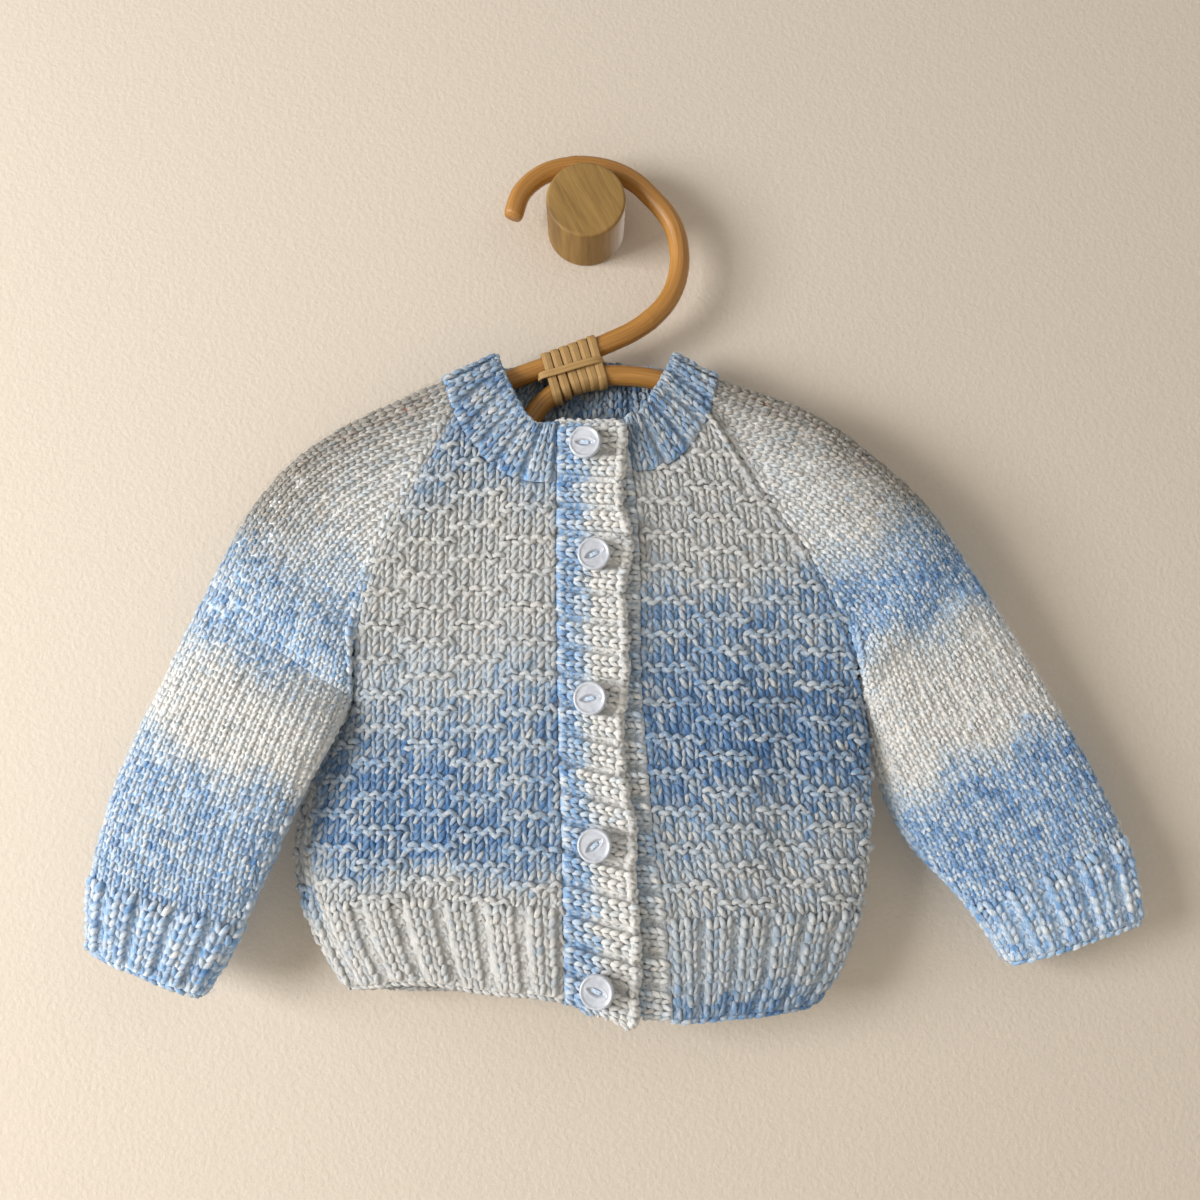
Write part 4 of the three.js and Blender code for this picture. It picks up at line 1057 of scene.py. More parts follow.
def sleeve_panel(name, left_side, bands, seed):
    ups = np.linspace(1, 0.03, 34)
    rows = [sleeve_yoke_row(up, left_side) for up in ups]
    rows += [sleeve_lower_row(down, left_side) for down in SHEET_DOWNS]
    raised = np.concatenate([np.zeros(len(ups)), ease(CUFF_RIB, CUFF_RIB + 0.05, SHEET_DOWNS)])
    courses = [sleeve_yoke_row(up, left_side) for up in YOKE_UPS]
    lower_downs = np.linspace(0, CUFF_RIB, LOWER_COURSES + 1)[1:]
    courses += [sleeve_lower_row(down, left_side) for down in lower_downs]
    cuff = [sleeve_lower_row(down, left_side) for down in np.linspace(CUFF_RIB, 1, CUFF_COURSES + 1)]
    axis = np.array([row.mean(0) for row in courses + cuff[1:]])

    def dye_at(points):
        flat = points.reshape(-1, 3)
        wobble = 1.2 * np.sin(flat[:, 0] * 0.17 + flat[:, 2] * 0.1)
        near = np.argmin(((flat[:, None] - axis[None]) ** 2).sum(-1), 1) * DYE_COURSES / len(axis) + wobble
        return np.interp(near, bands["course"], bands["blue"]).reshape(points.shape[:-1])

    def from_ridge(points, low, high):
        ridge = read(RIDGE[left_side], np.linspace(low, high, 30))
        return np.hypot(points[..., 0, None] - ridge["x"], points[..., 2, None] - ridge["z"]).min(-1)

    # A broad band along the shoulder's fold where the stitches are greyed: painted shade on the shoulder
    # tops, and partly the cane showing through the stretched knit
    def thin_and_shaded_at(points):
        return np.exp(-(from_ridge(points, 0.35, 0.95) / 26) ** 2)

    def thin_at(points):
        off = from_ridge(points, 0.55, 0.9)
        patches = np.sin(points[..., 0] * 0.9) * np.sin(points[..., 2] * 1.1 + 0.6) + 0.7
        return np.exp(-((off - 5) / 6) ** 2) * np.clip(patches, 0, 1) * (points[..., 1] < RIDGE_DEPTH)

    fold = [run_of(course)[50] for course in courses]
    columns = 44
    runs = np.array(fold)[:, None] + ((np.arange(columns) - columns / 2 + 0.5) * SLEEVE_STITCH)[None]
    # The sleeves' yarn takes painted light
    return knit_panel(
        name, 1 if left_side else -1, rows, raised, CUFF_RIBS, courses, runs, cuff, dye_at, seed,
        legs=SLEEVE_LEGS, painted_shading=SLEEVE_PAINTED_LIGHT, thin_at=thin_at, thin_and_shaded_at=thin_and_shaded_at,
    )


sleeve_right_bands = table(
    "course blue",
    (0, 0.12), (18, 0.08), (23, 0.25), (27, 0.5), (33, 0.6), (37, 0.5), (40, 0.15), (43, 0.04),
    (49, 0.06), (52, 0.4), (56, 0.6), (62, 0.58), (66, 0.58), (74, 0.6),
)
sleeve_left_bands = table(
    "course blue",
    (0, 0.1), (20, 0.1), (24, 0.5), (28, 0.75), (32, 0.7), (35, 0.2), (38, 0.03), (48, 0.03),
    (51, 0.45), (55, 0.75), (63, 0.7), (67, 0.6), (74, 0.55),
)
sleeve_panel("sleeve_right", True, sleeve_right_bands, 41)
sleeve_panel("sleeve_left", False, sleeve_left_bands, 51)

# The neckband: picked up round the neck and worked upward in two by two rib, in the strongest blue.
# Its inside shows at the back of the neck, over the hanger.
NECK_RIBS = 24
NECK_COURSES = 6
NECK_ROWS = 15
# Marks to each of the seven lines of the neck seam
LINE_MARKS = 100
DEEP_RIB = {"rise": 1.25, "furrow_rise": -1.1, "high": 0.95}
NECK_TOP = table(
    "mark x y z",
    (0, -11, -35.4, -97),
    (0.4, -20.5, -33.5, -96),
    (0.7, -27, -29.5, -87),
    (1, -33, -24, -73),
    (2, -37, -15.5, -61.5),
    (3, -34.5, -8.5, -66.5),
    (3.25, -20, -5.8, -65),
    (3.5, 2, -5, -62.5),
    (3.75, 21, -5.8, -64.5),
    (4, 34.5, -8.5, -66.5),
    (5, 37, -15.5, -61),
    (6, 32, -24, -73),
    (6.3, 27, -28, -82),
    (6.6, 23, -30, -89.5),
    (7, 15, -30.8, -93),
)
# The neck seam, as seven lines: front, sleeve front, sleeve back, back, and round to the other front
right_top, left_top = sleeve_yoke_row(1.0, True), sleeve_yoke_row(1.0, False)[::-1]
neck_lines = [front_yoke_row(1.0, True), right_top[:51], right_top[50:], back_yoke_row(1.0)]
neck_lines += [left_top[:51], left_top[50:], front_yoke_row(1.0, False)[::-1]]
neck_lines = [spread(line, LINE_MARKS) for line in neck_lines]
neck_seam = np.concatenate([line[:-1] for line in neck_lines] + [neck_lines[-1][-1:]])
neck_marks = np.linspace(0, 7, len(neck_seam))
top_read = read(NECK_TOP, neck_marks)
neck_top = np.stack([top_read["x"], top_read["y"], top_read["z"]], -1)
neck_run = run_of((neck_top + neck_seam) / 2)
even_places = np.linspace(0, neck_run[-1], NECK_RIBS * RIB_STEPS + 1)
even_marks = np.interp(even_places, neck_run, np.arange(len(neck_run)))


def neck_course(share, marks=even_marks):
    line = mix(neck_top, neck_seam, share)
    return np.stack([np.interp(marks, np.arange(len(line)), line[:, i]) for i in range(3)], -1)


def neck_dye(points):
    return 0.58 + 0.14 * np.sin(points[..., 0] * 0.25 + points[..., 2] * 0.2)


neck_grid = np.array([neck_course(share) for share in np.linspace(0, 0.99, NECK_ROWS)])
neck_out = outward_of(neck_grid, 1)
neck_rise = RIB_RISE * rib_wave(np.linspace(0, NECK_RIBS, len(even_marks)))[None] * np.ones((NECK_ROWS, 1))
# The neckband's yarn takes the body's painted shade
neckband_wool = wool("neckband wool", BODY_PAINTED_SHADE[0])
neck_lining = cloth("neckband sheet")
neck_sheet = shell_piece(
    "neckband_cloth", neck_grid, neck_out, neck_rise, neck_dye(neck_grid), neck_lining
)
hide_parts("neckband")
neck_yarn = Yarn(61)
neck_courses = [neck_course(share) for share in np.linspace(0, 1, NECK_COURSES + 1)]
two_by_two(neck_yarn, neck_courses, NECK_RIBS, 1, neck_dye, end=0, **DEEP_RIB)
# The band's inside is knitted too where it shows, round the middle of the back neck
INNER_MIDDLE, INNER_REACH, INNER_DEPTH = 3.5 * LINE_MARKS, 1.65 * LINE_MARKS, 2.6
inner_marks = even_marks[np.abs(even_marks - INNER_MIDDLE) < INNER_REACH]
inner_ribs = len(inner_marks) // RIB_STEPS
inner_places = np.linspace(0, len(inner_marks) - 1, inner_ribs * RIB_STEPS + 1)
inner_marks = np.interp(inner_places, np.arange(len(inner_marks)), inner_marks)
inner_courses = [neck_course(share, inner_marks) for share in np.linspace(0, 1, NECK_COURSES + 1)]
inner_out = outward_of(np.array(inner_courses), 1)
inner_courses = [course - out * INNER_DEPTH for course, out in zip(inner_courses, inner_out)]
two_by_two(neck_yarn, inner_courses, inner_ribs, -1, neck_dye, end=0)
fuzz(neck_yarn, neck_grid, neck_out, neck_rise, neck_dye, 500)
neck_stitches = neck_yarn.piece("neckband_stitches", neckband_wool, "neckband_knit")

# The buttonhole band: picked up along the wearer's right front and worked outward in two by two
# rib, blue at first and cream to the end, cast off in a thick cream roll. It laps over the other.
SEAM_GAP = 0.3
BAND_RIBS = 20
BAND_COURSES = 8
BAND_WIDTH = 25
FREE_EDGE = table(
    "height x",
    (-317, 17), (-290, 18), (-273, 17), (-261, 16), (-248, 17), (-236, 14), (-213, 12),
    (-195, 14), (-177, 14), (-159, 13), (-149, 15), (-140, 16), (-126, 12), (-113, 13),
    (-95, 14),
)
SCALLOP = 1.1
BAND_ROWS = 13
BAND_SHARES = np.linspace(0, 1, BAND_RIBS * RIB_STEPS + 1)
# The height of each band's top, and of its foot at the seam and at the free edge
BUTTONHOLE_ENDS = (-96, -308, -317)
BUTTON_ENDS = (-93, -315.5, -312)


def seam_at(line, heights):
    """Where a front's edge, from the neckband's top to the hem, lies at each height."""
    order = np.argsort(line[:, 2])
    return [np.interp(heights, line[order, 2], line[order, i]) for i in range(2)]


def band_course(line, share, top, seam_foot, free_foot, free_x, gap):
    """A line down the band, at a share of its width from the free edge (0) to the seam (1)."""
    seam_z, free_z = mix(top, seam_foot, BAND_SHARES), mix(top, free_foot, BAND_SHARES)
    x, y = seam_at(line, seam_z)
    return np.stack([mix(free_x(x, free_z), x + gap, share), y, mix(free_z, seam_z, share)], -1)


def band_piece(name, course, face, dye_at, seed, edge_full, edge_tilt):
    slot = name + "_knit"
    grid = np.stack([course(share) for share in np.linspace(0, 1, BAND_ROWS)], 1)
    outward = outward_of(grid, -face)
    ridges = rib_wave(np.linspace(0, BAND_RIBS, len(BAND_SHARES)))
    rise = RIB_RISE * ridges[:, None] * np.ones((1, BAND_ROWS))
    sheet = shell_piece(name + "_cloth", grid, outward, rise, dye_at(grid), cloth(name + " sheet"))
    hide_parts(name)
    yarn = Yarn(seed)
    courses = [course(share) for share in np.linspace(0, 1, BAND_COURSES + 1)]
    roll = {"end": 0, "edge_full": edge_full, "edge_tilt": edge_tilt}
    two_by_two(yarn, courses, BAND_RIBS, face, dye_at, **roll, **DEEP_RIB)
    for row, beside in ((0, 1), (-1, -2)):
        line = grid[row] + unit(grid[beside] - grid[row]) * 1.5
        edge_chain(yarn, line, outward[row], lambda p: marled(yarn, dye_at(p)), step=3.1, width=3.6)
    fuzz(yarn, grid, outward, rise, dye_at, 500)
    stitches = yarn.piece(name + "_stitches", wool(name + " wool"), slot)


right_edge = np.concatenate([neck_grid[:, 0], front_right[:, 0]])


def scalloped_x(seam_x, heights):
    return read(FREE_EDGE, heights)["x"] + SCALLOP * rib_wave(BAND_SHARES * BAND_RIBS)


def buttonhole_course(share):
    return band_course(right_edge, share, *BUTTONHOLE_ENDS, scalloped_x, SEAM_GAP)


def buttonhole_dye(points):
    z = points[..., 2]
    top, foot = BUTTONHOLE_ENDS[:2]
    seam_x, free_x = read(BUTTONHOLE_SEAM, z)["x"], read(FREE_EDGE, z)["x"]
    share = (points[..., 0] - seam_x) / (free_x - seam_x)
    share = share + 0.05 * np.sin(z * 0.35) + 0.03 * np.sin(z * 0.13)
    rib = rib_wave((z - top) / ((top - foot) / BAND_RIBS))
    return 0.64 * (1 - ease(0.3, 0.66, share + 0.14 * rib - 0.07)) + 0.02


band_piece("buttonhole_band", buttonhole_course, -1, buttonhole_dye, 71, 0.34, 0.4)

# The button band: picked up along the wearer's left front in the same rib. Most of it lies under
# the other band, and the buttons are sewn on it.
left_edge = np.concatenate([neck_grid[:, -1], front_left[:, 0]])


def button_course(share):
    return band_course(left_edge, share, *BUTTON_ENDS, lambda x, z: x - BAND_WIDTH, -SEAM_GAP)


def button_band_dye(points):
    x, z = points[..., 0], points[..., 2]
    return 0.26 + 0.12 * np.sin(z * 0.09) + 0.1 * np.sin(x * 0.4) - 0.15 * ease(-170, -120, z)


band_piece("button_band", button_course, 1, button_band_dye, 81, 0.27, -0.3)

# The buttons: five pearl white fish-eye buttons, turned with a raised rim and an eye-shaped hollow
# that holds the two holes, each sewn on through them and pushed through its buttonhole.
BUTTON_RADIUS = 6.25
BUTTON_THICKNESS = 3.0
EYE_LENGTH, EYE_WIDTH, EYE_DEPTH = 4.1, 1.75, 1.1
BUTTONS = table(
    "x z turn tip",
    (0.2, -104.5, -5, 12),
    (3.4, -147.2, 25, 6),
    (2.2, -200.9, 10, 12),
    (3.7, -253.3, 40, 9),
    (4.7, -303.8, -20, 13),
)
# The button's profile: radius as a share of its own, height as a share of the thickness
BUTTON_PROFILE = table(
    "radius height",
    (0.35, 0), (0.72, 0), (0.88, 0.1), (0.965, 0.32), (1, 0.58), (0.99, 0.76), (0.96, 0.9),
    (0.915, 0.985), (0.87, 0.995), (0.825, 0.94), (0.785, 0.87), (0.74, 0.84),
)


def around(count):
    """Even angles all the way round."""
    return np.linspace(0, 2 * np.pi, count + 1)[:-1]


def turned_piece(name, rings, material):
    """A closed solid of rings of points, from its back face to its front face."""
    index = np.arange(rings.shape[0] * rings.shape[1]).reshape(rings.shape[:2])
    ahead = np.roll(index, -1, axis=1)
    walls = np.stack([index[:-1], ahead[:-1], ahead[1:], index[1:]], -1).reshape(-1, 4)
    return new_piece(name, rings.reshape(-1, 3), [walls, index[:1, ::-1], index[-1:]], material)


def pearl_white(tree):
    place = object_place(tree)
    cloud = node(tree, "ShaderNodeTexNoise", Vector=place, Scale=210.0, Detail=2.0, Distortion=1.5)
    scratch = node(tree, "ShaderNodeTexNoise", Vector=place, Scale=1500.0, Detail=2.0)
    return ramp(tree, cloud.outputs[0], {0.3: "a8adb7", 0.6: "bcc1ca"}), scratch.outputs[0]


def button_piece(number, x, z, turn, tip, material, thread):
    angles = around(72)
    inner = np.linspace(0.7, 0.03, 22)
    radius = np.concatenate([BUTTON_PROFILE["radius"], inner]) * BUTTON_RADIUS
    inner_height = mix(0.8, 0.835, (inner / 0.7) ** 2)
    height = np.concatenate([BUTTON_PROFILE["height"], inner_height]) * BUTTON_THICKNESS
    a, b = radius[:, None] * np.cos(angles), radius[:, None] * np.sin(angles)
    bow = (EYE_LENGTH ** 2 + EYE_WIDTH ** 2) / (2 * EYE_WIDTH)
    from_bow = np.hypot(a, np.abs(b) + bow - EYE_WIDTH)
    inside = np.clip((bow - from_bow) / EYE_WIDTH, 0, 1)
    face_only = np.concatenate([np.zeros(len(BUTTON_PROFILE["radius"])), np.ones(len(inner))])[:, None]
    lip = 0.12 * np.exp(-((from_bow - bow - 0.25) / 0.3) ** 2)
    lift = height[:, None] + face_only * (lip - EYE_DEPTH * ease(0, 0.55, inside))
    t, lean = math.radians(turn), math.radians(tip)
    outward = np.array([-math.sin(lean), -math.cos(lean), 0])
    right = np.array([math.cos(lean), -math.sin(lean), 0])
    up = np.array([0, 0, 1.0])
    eye, across = right * math.cos(t) + up * math.sin(t), up * math.cos(t) - right * math.sin(t)
    band_y = np.interp(z, button_lie[::-1, 2], button_lie[::-1, 1])
    clear = RIB_RISE + SEAM_GAP + 0.72 * BUTTON_RADIUS * math.sin(lean)
    seat = np.array([x, band_y - clear, z])
    points = seat + a[..., None] * eye + b[..., None] * across + lift[..., None] * outward
    disc = turned_piece(f"fish_eye_button_{number}", points, material)
    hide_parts(f"button_{number}")

    yarn = Yarn(90 + number)
    along = np.linspace(-2.0, 2.0, 9)
    strands = np.array([-0.45, 0.0, 0.45])
    sag = BUTTON_THICKNESS * 0.8 - EYE_DEPTH + 0.45 - 0.5 * (along / 2) ** 4
    path = seat + eye * along[None, :, None] + across * strands[:, None, None] + outward * sag[None, :, None]
    thick = np.concatenate([[0], np.full(7, 0.27), [0]])
    yarn.lay(path, np.broadcast_to(outward, path.shape), np.tile(thick, (3, 1)), np.full(3, 0.45), turns=3.0)
    yarn.piece(f"button_thread_{number}", thread, "button_band_knit")


button_lie = buttonhole_course(0.5)
button_finish = new_material(
    "pearl white button", pearl_white, (0.08, 0.0002), Roughness=0.24, Coat_Weight=0.4, Coat_Roughness=0.12
)
thread_finish = wool("button thread", bump=0.2)
for number, lie in enumerate(zip(*BUTTONS.values()), 1):
    button_piece(number, *lie, button_finish, thread_finish)

# The hanger: one length of peeled cane, steamed and bent from the hook's cut end over the peg, down
# the left shoulder, back along the bar and up the right shoulder to the binding.
ROD_RADIUS = 4.1
ROD_DEPTH = -15
ROD_CLEARANCE = 1
WALL = 2.4
END_BEND = 10
BAR_HEIGHT = -128
HOOK_ROUTE = table(
    "x z",
    (-30, -2), (-26.5, 8.5), (-19, 16), (-10, 19.6), (1, 20.5), (12, 18.1), (21, 13), (27, 7),
    (32.5, 0.5), (36.3, -6.5), (38, -14), (38.3, -22), (36.5, -31), (32.5, -39), (26, -46),
    (18.5, -51.3), (11, -55), (3, -58.6), (-6, -62.3), (-15.5, -66), (-25, -69.6), (-33, -72.8),
    (-42, -76.5),
)
STUB_ROUTE = table(
    "x z",
    (40, -74.3), (29, -71.3), (19, -69.9), (9, -69.7), (1, -70.6), (-5, -72.6), (-11, -76.2),
    (-16.5, -80.8), (-21, -86.5), (-24, -92),
)


def arm_points(ridge):
    """Where the cane runs under a shoulder's fold."""
    places = []
    for up in (0.94, 0.86, 0.77, 0.68, 0.6):
        here, nearby = read(ridge, up), read(ridge, up - 0.02)
        dx, dz = abs(nearby["x"] - here["x"]), abs(nearby["z"] - here["z"])
        run, below = math.hypot(dx, dz), WALL + ROD_CLEARANCE + ROD_RADIUS
        places.append((here["x"] - math.copysign(below * dz / run, here["x"]), here["z"] - below * dx / run))
    return places


def bend_points(end, inward):
    return [
        (end, BAR_HEIGHT + END_BEND * 1.15),
        (end + inward * 0.28 * END_BEND, BAR_HEIGHT + END_BEND * 0.32),
        (end + inward * END_BEND, BAR_HEIGHT),
    ]


def smooth_route(route, each=9):
    """A centripetal curve through the points of a route."""
    p = np.array([2 * route[0] - route[1], *route, 2 * route[-1] - route[-2]])
    curve = []
    for a, b, c, d in zip(p[:-3], p[1:-2], p[2:-1], p[3:]):
        t1 = math.sqrt(np.linalg.norm(b - a))
        t2 = t1 + math.sqrt(np.linalg.norm(c - b))
        t3 = t2 + math.sqrt(np.linalg.norm(d - c))
        t = np.linspace(t1, t2, each + 1)[:-1, None]
        ab, bc, cd = mix(a, b, t / t1), mix(b, c, (t - t1) / (t2 - t1)), mix(c, d, (t - t2) / (t3 - t2))
        abc, bcd = mix(ab, bc, t / t2), mix(bc, cd, (t - t1) / (t3 - t1))
        curve.append(mix(abc, bcd, (t - t1) / (t2 - t1)))
    return np.concatenate([*curve, route[-1:]])


def sweep(name, path, facing, section, material, closed=False):
    """A closed solid along a path. section is (stations or 1, sides, 2): across and outward offsets."""
    k, sides = len(path), section.shape[1]
    along = np.roll(path, -1, 0) - np.roll(path, 1, 0) if closed else np.gradient(path, axis=0)
    across = unit(np.cross(facing, along))
    up = unit(np.cross(along, across))
    section = np.broadcast_to(section, (k, sides, 2))
    points = path[:, None] + across[:, None] * section[..., :1] + up[:, None] * section[..., 1:]
    index = np.arange(k * sides).reshape(k, sides)
    ahead = np.roll(index, -1, 0) if closed else index[1:]
    here = index if closed else index[:-1]
    walls = np.stack([here, ahead, np.roll(ahead, -1, 1), np.roll(here, -1, 1)], -1).reshape(-1, 4)
    caps = [] if closed else [index[:1], index[-1:, ::-1]]
    piece = new_piece(name, points.reshape(-1, 3), [walls, *caps], material)
    run = run_of(path)
    total = run[-1] + (np.linalg.norm(path[0] - path[-1]) if closed else 0)
    here_v = np.repeat(run if closed else run[:-1], sides)
    ahead_v = np.repeat(np.append(run[1:], total) if closed else run[1:], sides)
    j = np.tile(np.arange(sides), len(here))
    corners = [(j, here_v), (j, ahead_v), (j + 1, ahead_v), (j + 1, here_v)]
    wall_map = np.stack([np.stack(corner, -1) for corner in corners], 1).reshape(-1, 2)
    wall_map = wall_map * np.array([1 / sides, MM * 10])
    cap_map = [np.stack([np.cos(np.arange(sides)), np.sin(np.arange(sides))], -1) * 0.05 for _ in caps]
    grain = piece.data.uv_layers.new(name="grain", do_init=False)
    grain.uv.foreach_set("vector", np.concatenate([wall_map, *cap_map]).astype(np.float32).ravel())
    return piece


# Wood and cane: fine grain lines on softer clouds, with pores. Both woods and the binding use it
grain_sockets = {"Place": "Vector", "Lines": "Float", "Clouds": "Float"}
grain_group, source, result = new_group("fine grain", grain_sockets, {"Tone": "Float", "Height": "Float"})
g = grain_group
place = source["Place"]
lines = node(g, "ShaderNodeTexNoise", Vector=place, Scale=source["Lines"], Detail=5.0, Roughness=0.65)
clouds = node(g, "ShaderNodeTexNoise", Vector=place, Scale=source["Clouds"], Detail=2.0)
shares = [sums(g, "MULTIPLY", noise.outputs[0], part) for noise, part in ((lines, 0.55), (clouds, 0.45))]
g.links.new(sums(g, "ADD", *shares), result["Tone"])
g.links.new(lines.outputs[0], result["Height"])


def grained(name, place, turned, stretch, lines, clouds, stops, roughness, coat=0.0, bump=0.25):
    """A wood or cane finish, along the mesh's map of that name or, where place is "", in space."""
    def colour_of(tree):
        start = node(tree, "ShaderNodeUVMap", {"uv_map": place}).outputs[0] if place else object_place(tree)
        start = node(tree, "ShaderNodeMapping", Vector=start, Rotation=turned).outputs[0]
        start = node(tree, "ShaderNodeMapping", Vector=start, Scale=stretch).outputs[0]
        inputs = {"Place": start, "Lines": lines, "Clouds": clouds}
        grain = node(tree, "ShaderNodeGroup", {"node_tree": grain_group}, **inputs).outputs
        return ramp(tree, grain["Tone"], stops), grain["Height"]

    settings = {"Roughness": roughness, "Coat_Weight": coat, "Coat_Roughness": 0.3}
    return new_material(name, colour_of, (bump, 0.0004), **settings)


cane_finish = grained(
    "peeled cane", "grain", (0, 0, 0), (14.0, 1.2, 1.0), 3.0, 1.1,
    {0.3: "744a1e", 0.45: "9a6a2b", 0.6: "b07e3c", 0.75: "c39552"}, roughness=0.5, coat=0.14,
)
route = [*zip(HOOK_ROUTE["x"], HOOK_ROUTE["z"]), *arm_points(LEFT_RIDGE), *bend_points(-108.5, 1)]
route += [(x, BAR_HEIGHT) for x in (-50, -14, 22, 58)]
route += [*bend_points(115.5, -1)[::-1], *arm_points(RIGHT_RIDGE)[::-1]]
route += zip(STUB_ROUTE["x"], STUB_ROUTE["z"])
route = np.array([(x, ROD_DEPTH, z) for x, z in route], float)
cane = smooth_route(route)
cane_run = run_of(cane)
# A cane is a little thicker at its joints, which lie a hand apart, and its cut ends are eased
swell = np.ones(len(cane))
for joint in np.arange(38, cane_run[-1], 96):
    bulge, groove = (cane_run - joint) / 2.2, (cane_run - joint - 0.6) / 0.7
    swell += 0.055 * np.exp(-bulge ** 2) - 0.05 * np.exp(-groove ** 2)
swell *= 1 - 0.12 * np.exp(-cane_run / 0.6) - 0.12 * np.exp(-(cane_run[-1] - cane_run) / 0.6)
angle = around(24)
circle = np.stack([np.sin(angle), np.cos(angle)], -1)[None] * (ROD_RADIUS * swell)[:, None, None]
facing = np.tile([0.0, -1.0, 0.0], (len(cane), 1))
hanger = sweep("hanger_cane", cane, facing, circle, cane_finish)
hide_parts("hanger_rod")

# The binding: a strip of split cane wound six times round both lengths of the rod, then once
# across the middle to draw the turns together, and tucked in.
BIND_FROM, BIND_TO = 3.0, -15.0
BIND_TURNS = 6
BIND_REACH = 5.1
STRIP_WIDTH, STRIP_THICK = 3.5, 0.8
# How far each turn's foot lies to the right of its top
BIND_SLANT = math.sin(math.radians(21)) * 8.6
CROSS_WIDTH = 3.0
CROSS_ROUTE = np.array([
    (-18.5, -15, -72), (-18, -19.4, -71.6), (-11, -20.4, -69.7), (-3, -20.7, -67.2),
    (4, -20.0, -65), (6.6, -18.4, -64.2), (7.2, -15, -64),
], float)


def strip_section(width, thick):
    w, h = width / 2, thick / 2
    return np.array([[
        (-w, -h * 0.6), (-w, h * 0.5), (-w * 0.86, h * 0.92), (0, h),
        (w * 0.86, h * 0.92), (w, h * 0.5), (w, -h * 0.6), (0, -h * 0.8),
    ]])


def rod_height(line, x):
    order = np.argsort(line["x"])
    return np.interp(x, line["x"][order], line["z"][order])


split_cane = grained(
    "split cane", "grain", (0, 0, 0), (22.0, 0.9, 1.0), 2.6, 0.8,
    {0.3: "7c5b2e", 0.48: "a5824e", 0.7: "bc9c6c"}, roughness=0.6, bump=0.3,
)
descent = {key: values[HOOK_ROUTE["z"] < -50] for key, values in HOOK_ROUTE.items()}
random = np.random.default_rng(7)
for turn_number in range(BIND_TURNS):
    x = mix(BIND_FROM, BIND_TO, turn_number / (BIND_TURNS - 1))
    upper = np.array([x, ROD_DEPTH, rod_height(descent, x)])
    low_x = x + BIND_SLANT
    lower = np.array([low_x, ROD_DEPTH, rod_height(STUB_ROUTE, low_x)])
    axis = unit(upper - lower)
    forward = np.array([0, -1.0, 0])
    angle = around(64)
    half_gap = np.linalg.norm(upper - lower) / 2
    away = np.clip(np.cos(angle) * 6, -1, 1) * half_gap
    waist = 1 - 0.2 * np.exp(-(np.cos(angle) / 0.22) ** 2)
    middle = (upper + lower) / 2
    loop = middle + axis * (away + np.cos(angle) * BIND_REACH)[:, None]
    loop = loop + forward * (np.sin(angle) * BIND_REACH * waist)[:, None]
    loop = loop + np.array([0.07, 0, 0]) * random.normal(0, 1, 3)
    out = axis * np.cos(angle)[:, None] + forward * np.sin(angle)[:, None]
    size = strip_section(STRIP_WIDTH + random.normal(0, 0.08), STRIP_THICK)
    wrap_name = f"cane_wrap_{turn_number + 1}"
    sweep(wrap_name, loop, out, size, split_cane, closed=True)
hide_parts("hanger_binding")
cross = smooth_route(CROSS_ROUTE, 6)
facing = np.tile([0.05, -1.0, 0.1], (len(cross), 1))
cross_size = strip_section(CROSS_WIDTH, STRIP_THICK)
sweep("cane_cross_strip", cross, facing, cross_size, split_cane)

# The peg: a birch dowel turned true, its edge eased by hand, bare and a little darkened by use.
PEG_RADIUS, PEG_LENGTH, PEG_EASE = 16, 27, 1.2
PEG_SIDES = 96
birch = grained(
    "bare birch", "", (0, math.radians(-62), 0), (60.0, 30.0, 620.0), 1.0, 0.25,
    {0.3: "6c5028", 0.46: "876834", 0.6: "94743f", 0.75: "a5854f"}, roughness=0.62, bump=0.5,
)
bevel = np.linspace(0, np.pi / 2, 7)
eased_radius = PEG_RADIUS - PEG_EASE * (1 - np.cos(bevel))
eased_out = PEG_LENGTH - PEG_EASE * (1 - np.sin(bevel))
peg_radius = np.concatenate([[PEG_RADIUS] * 7, eased_radius, [14, 10, 5, 1]])
peg_out = np.concatenate([[0], np.linspace(0.3, 22, 6), eased_out, [PEG_LENGTH] * 4])
angle = around(PEG_SIDES)
ring = np.stack([np.cos(angle), np.zeros(PEG_SIDES), np.sin(angle)], -1)
peg_points = ring[None] * peg_radius[:, None, None] + np.array([0, -1.0, 0]) * peg_out[:, None, None]
peg = turned_piece("birch_peg", peg_points, birch)
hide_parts("wall_peg")

# The studio: a plain warm wall, which can't be seen or shade anything from behind, a pale floor far
# below, and soft light from the upper left.


def plain(name, dark, light, grain):
    def colour_of(tree):
        place = object_place(tree)
        noise = node(tree, "ShaderNodeTexNoise", Vector=place, Scale=grain, Detail=4.0).outputs[0]
        return ramp(tree, noise, {0.3: dark, 0.7: light}), noise

    return new_material(name, colour_of, (0.6, 0.0005), Roughness=0.9)


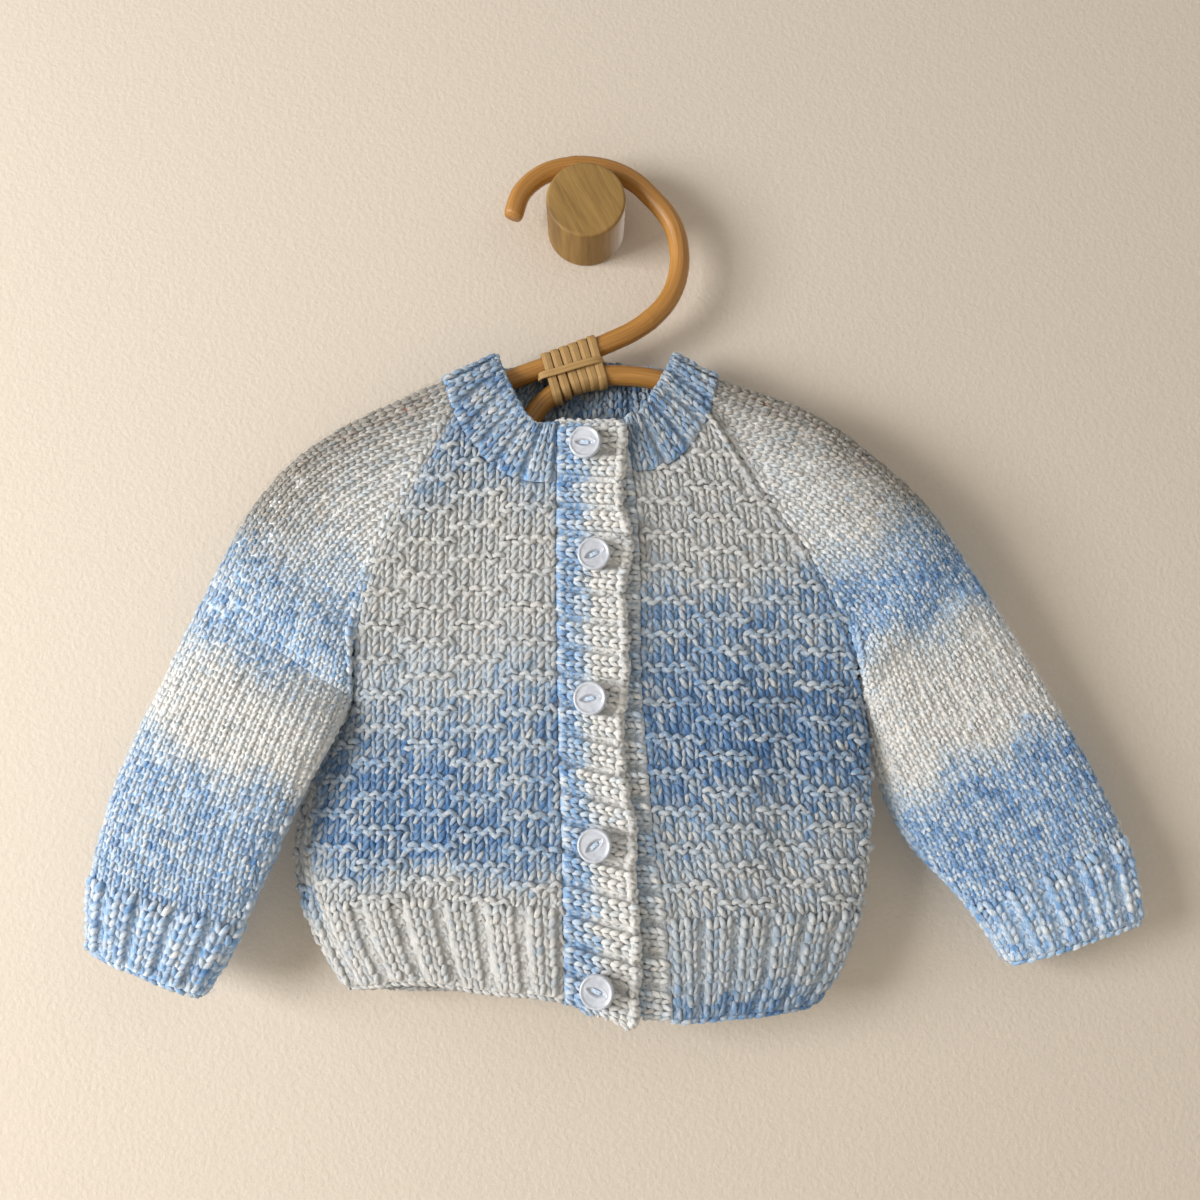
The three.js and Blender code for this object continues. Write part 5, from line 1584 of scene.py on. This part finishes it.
def flat_stage(name, corners, material):
    mesh = bpy.data.meshes.new(name)
    mesh.from_pydata(corners, [], [(0, 1, 2, 3)])
    mesh.materials.append(material)
    made = bpy.data.objects.new(name, mesh)
    bpy.context.scene.collection.objects.link(made)


plaster = plain("warm plaster", "c7bdaf", "cabfb2", 560.0)
tree = plaster.node_tree
shadow_ray = node(tree, "ShaderNodeLightPath").outputs["Is Shadow Ray"]
behind = node(tree, "ShaderNodeNewGeometry").outputs["Backfacing"]
unseen = sums(tree, "MAXIMUM", behind, shadow_ray)
clear_view = node(tree, "ShaderNodeBsdfTransparent").outputs[0]
surface = tree.nodes["Principled BSDF"].outputs[0]
both = node(tree, "ShaderNodeMixShader", i0=unseen, i1=surface, i2=clear_view).outputs[0]
tree.links.new(both, tree.nodes["Material Output"].inputs["Surface"])
WALL_FACE, WALL_TOP, FLOOR = 0.0006, 1.5, -0.75
corners = [(-2, FLOOR), (2, FLOOR), (2, WALL_TOP), (-2, WALL_TOP)]
flat_stage("wall", [(x, WALL_FACE, z) for x, z in corners], plaster)
corners = [(-2, -3), (2, -3), (2, 2), (-2, 2)]
flat_stage("floor", [(x, y, FLOOR) for x, y in corners], plain("pale floor", "d8d3ca", "e2ded6", 40.0))


def soft_light(name, place, aim, size, power, colour):
    lamp = bpy.data.lights.new(name, "AREA")
    lamp.size = size
    lamp.energy = power
    lamp.color = colour
    made = bpy.data.objects.new(name, lamp)
    direction = np.array(aim, float) - np.array(place, float)
    made.location = place
    made.rotation_euler = Vector(direction).to_track_quat("-Z", "Y").to_euler()
    bpy.context.scene.collection.objects.link(made)


soft_light("window", (-1.1, -0.72, -0.22), (0, 0, -0.14), 0.6, 21.5, (1.0, 0.99, 0.98))
soft_light("room", (0.9, -1.0, 0.5), (0.1, 0, -0.05), 1.2, 2.0, (1.0, 0.98, 0.95))
soft_light("behind", (0.5, 1.2, 0.5), (0, 0, -0.15), 1.0, 14.0, (1.0, 0.98, 0.95))
world = bpy.data.worlds.new("pale room")
world.use_nodes = True
world.node_tree.nodes["Background"].inputs[0].default_value = srgb("f1ebe2")
world.node_tree.nodes["Background"].inputs[1].default_value = 0.5
bpy.context.scene.world = world
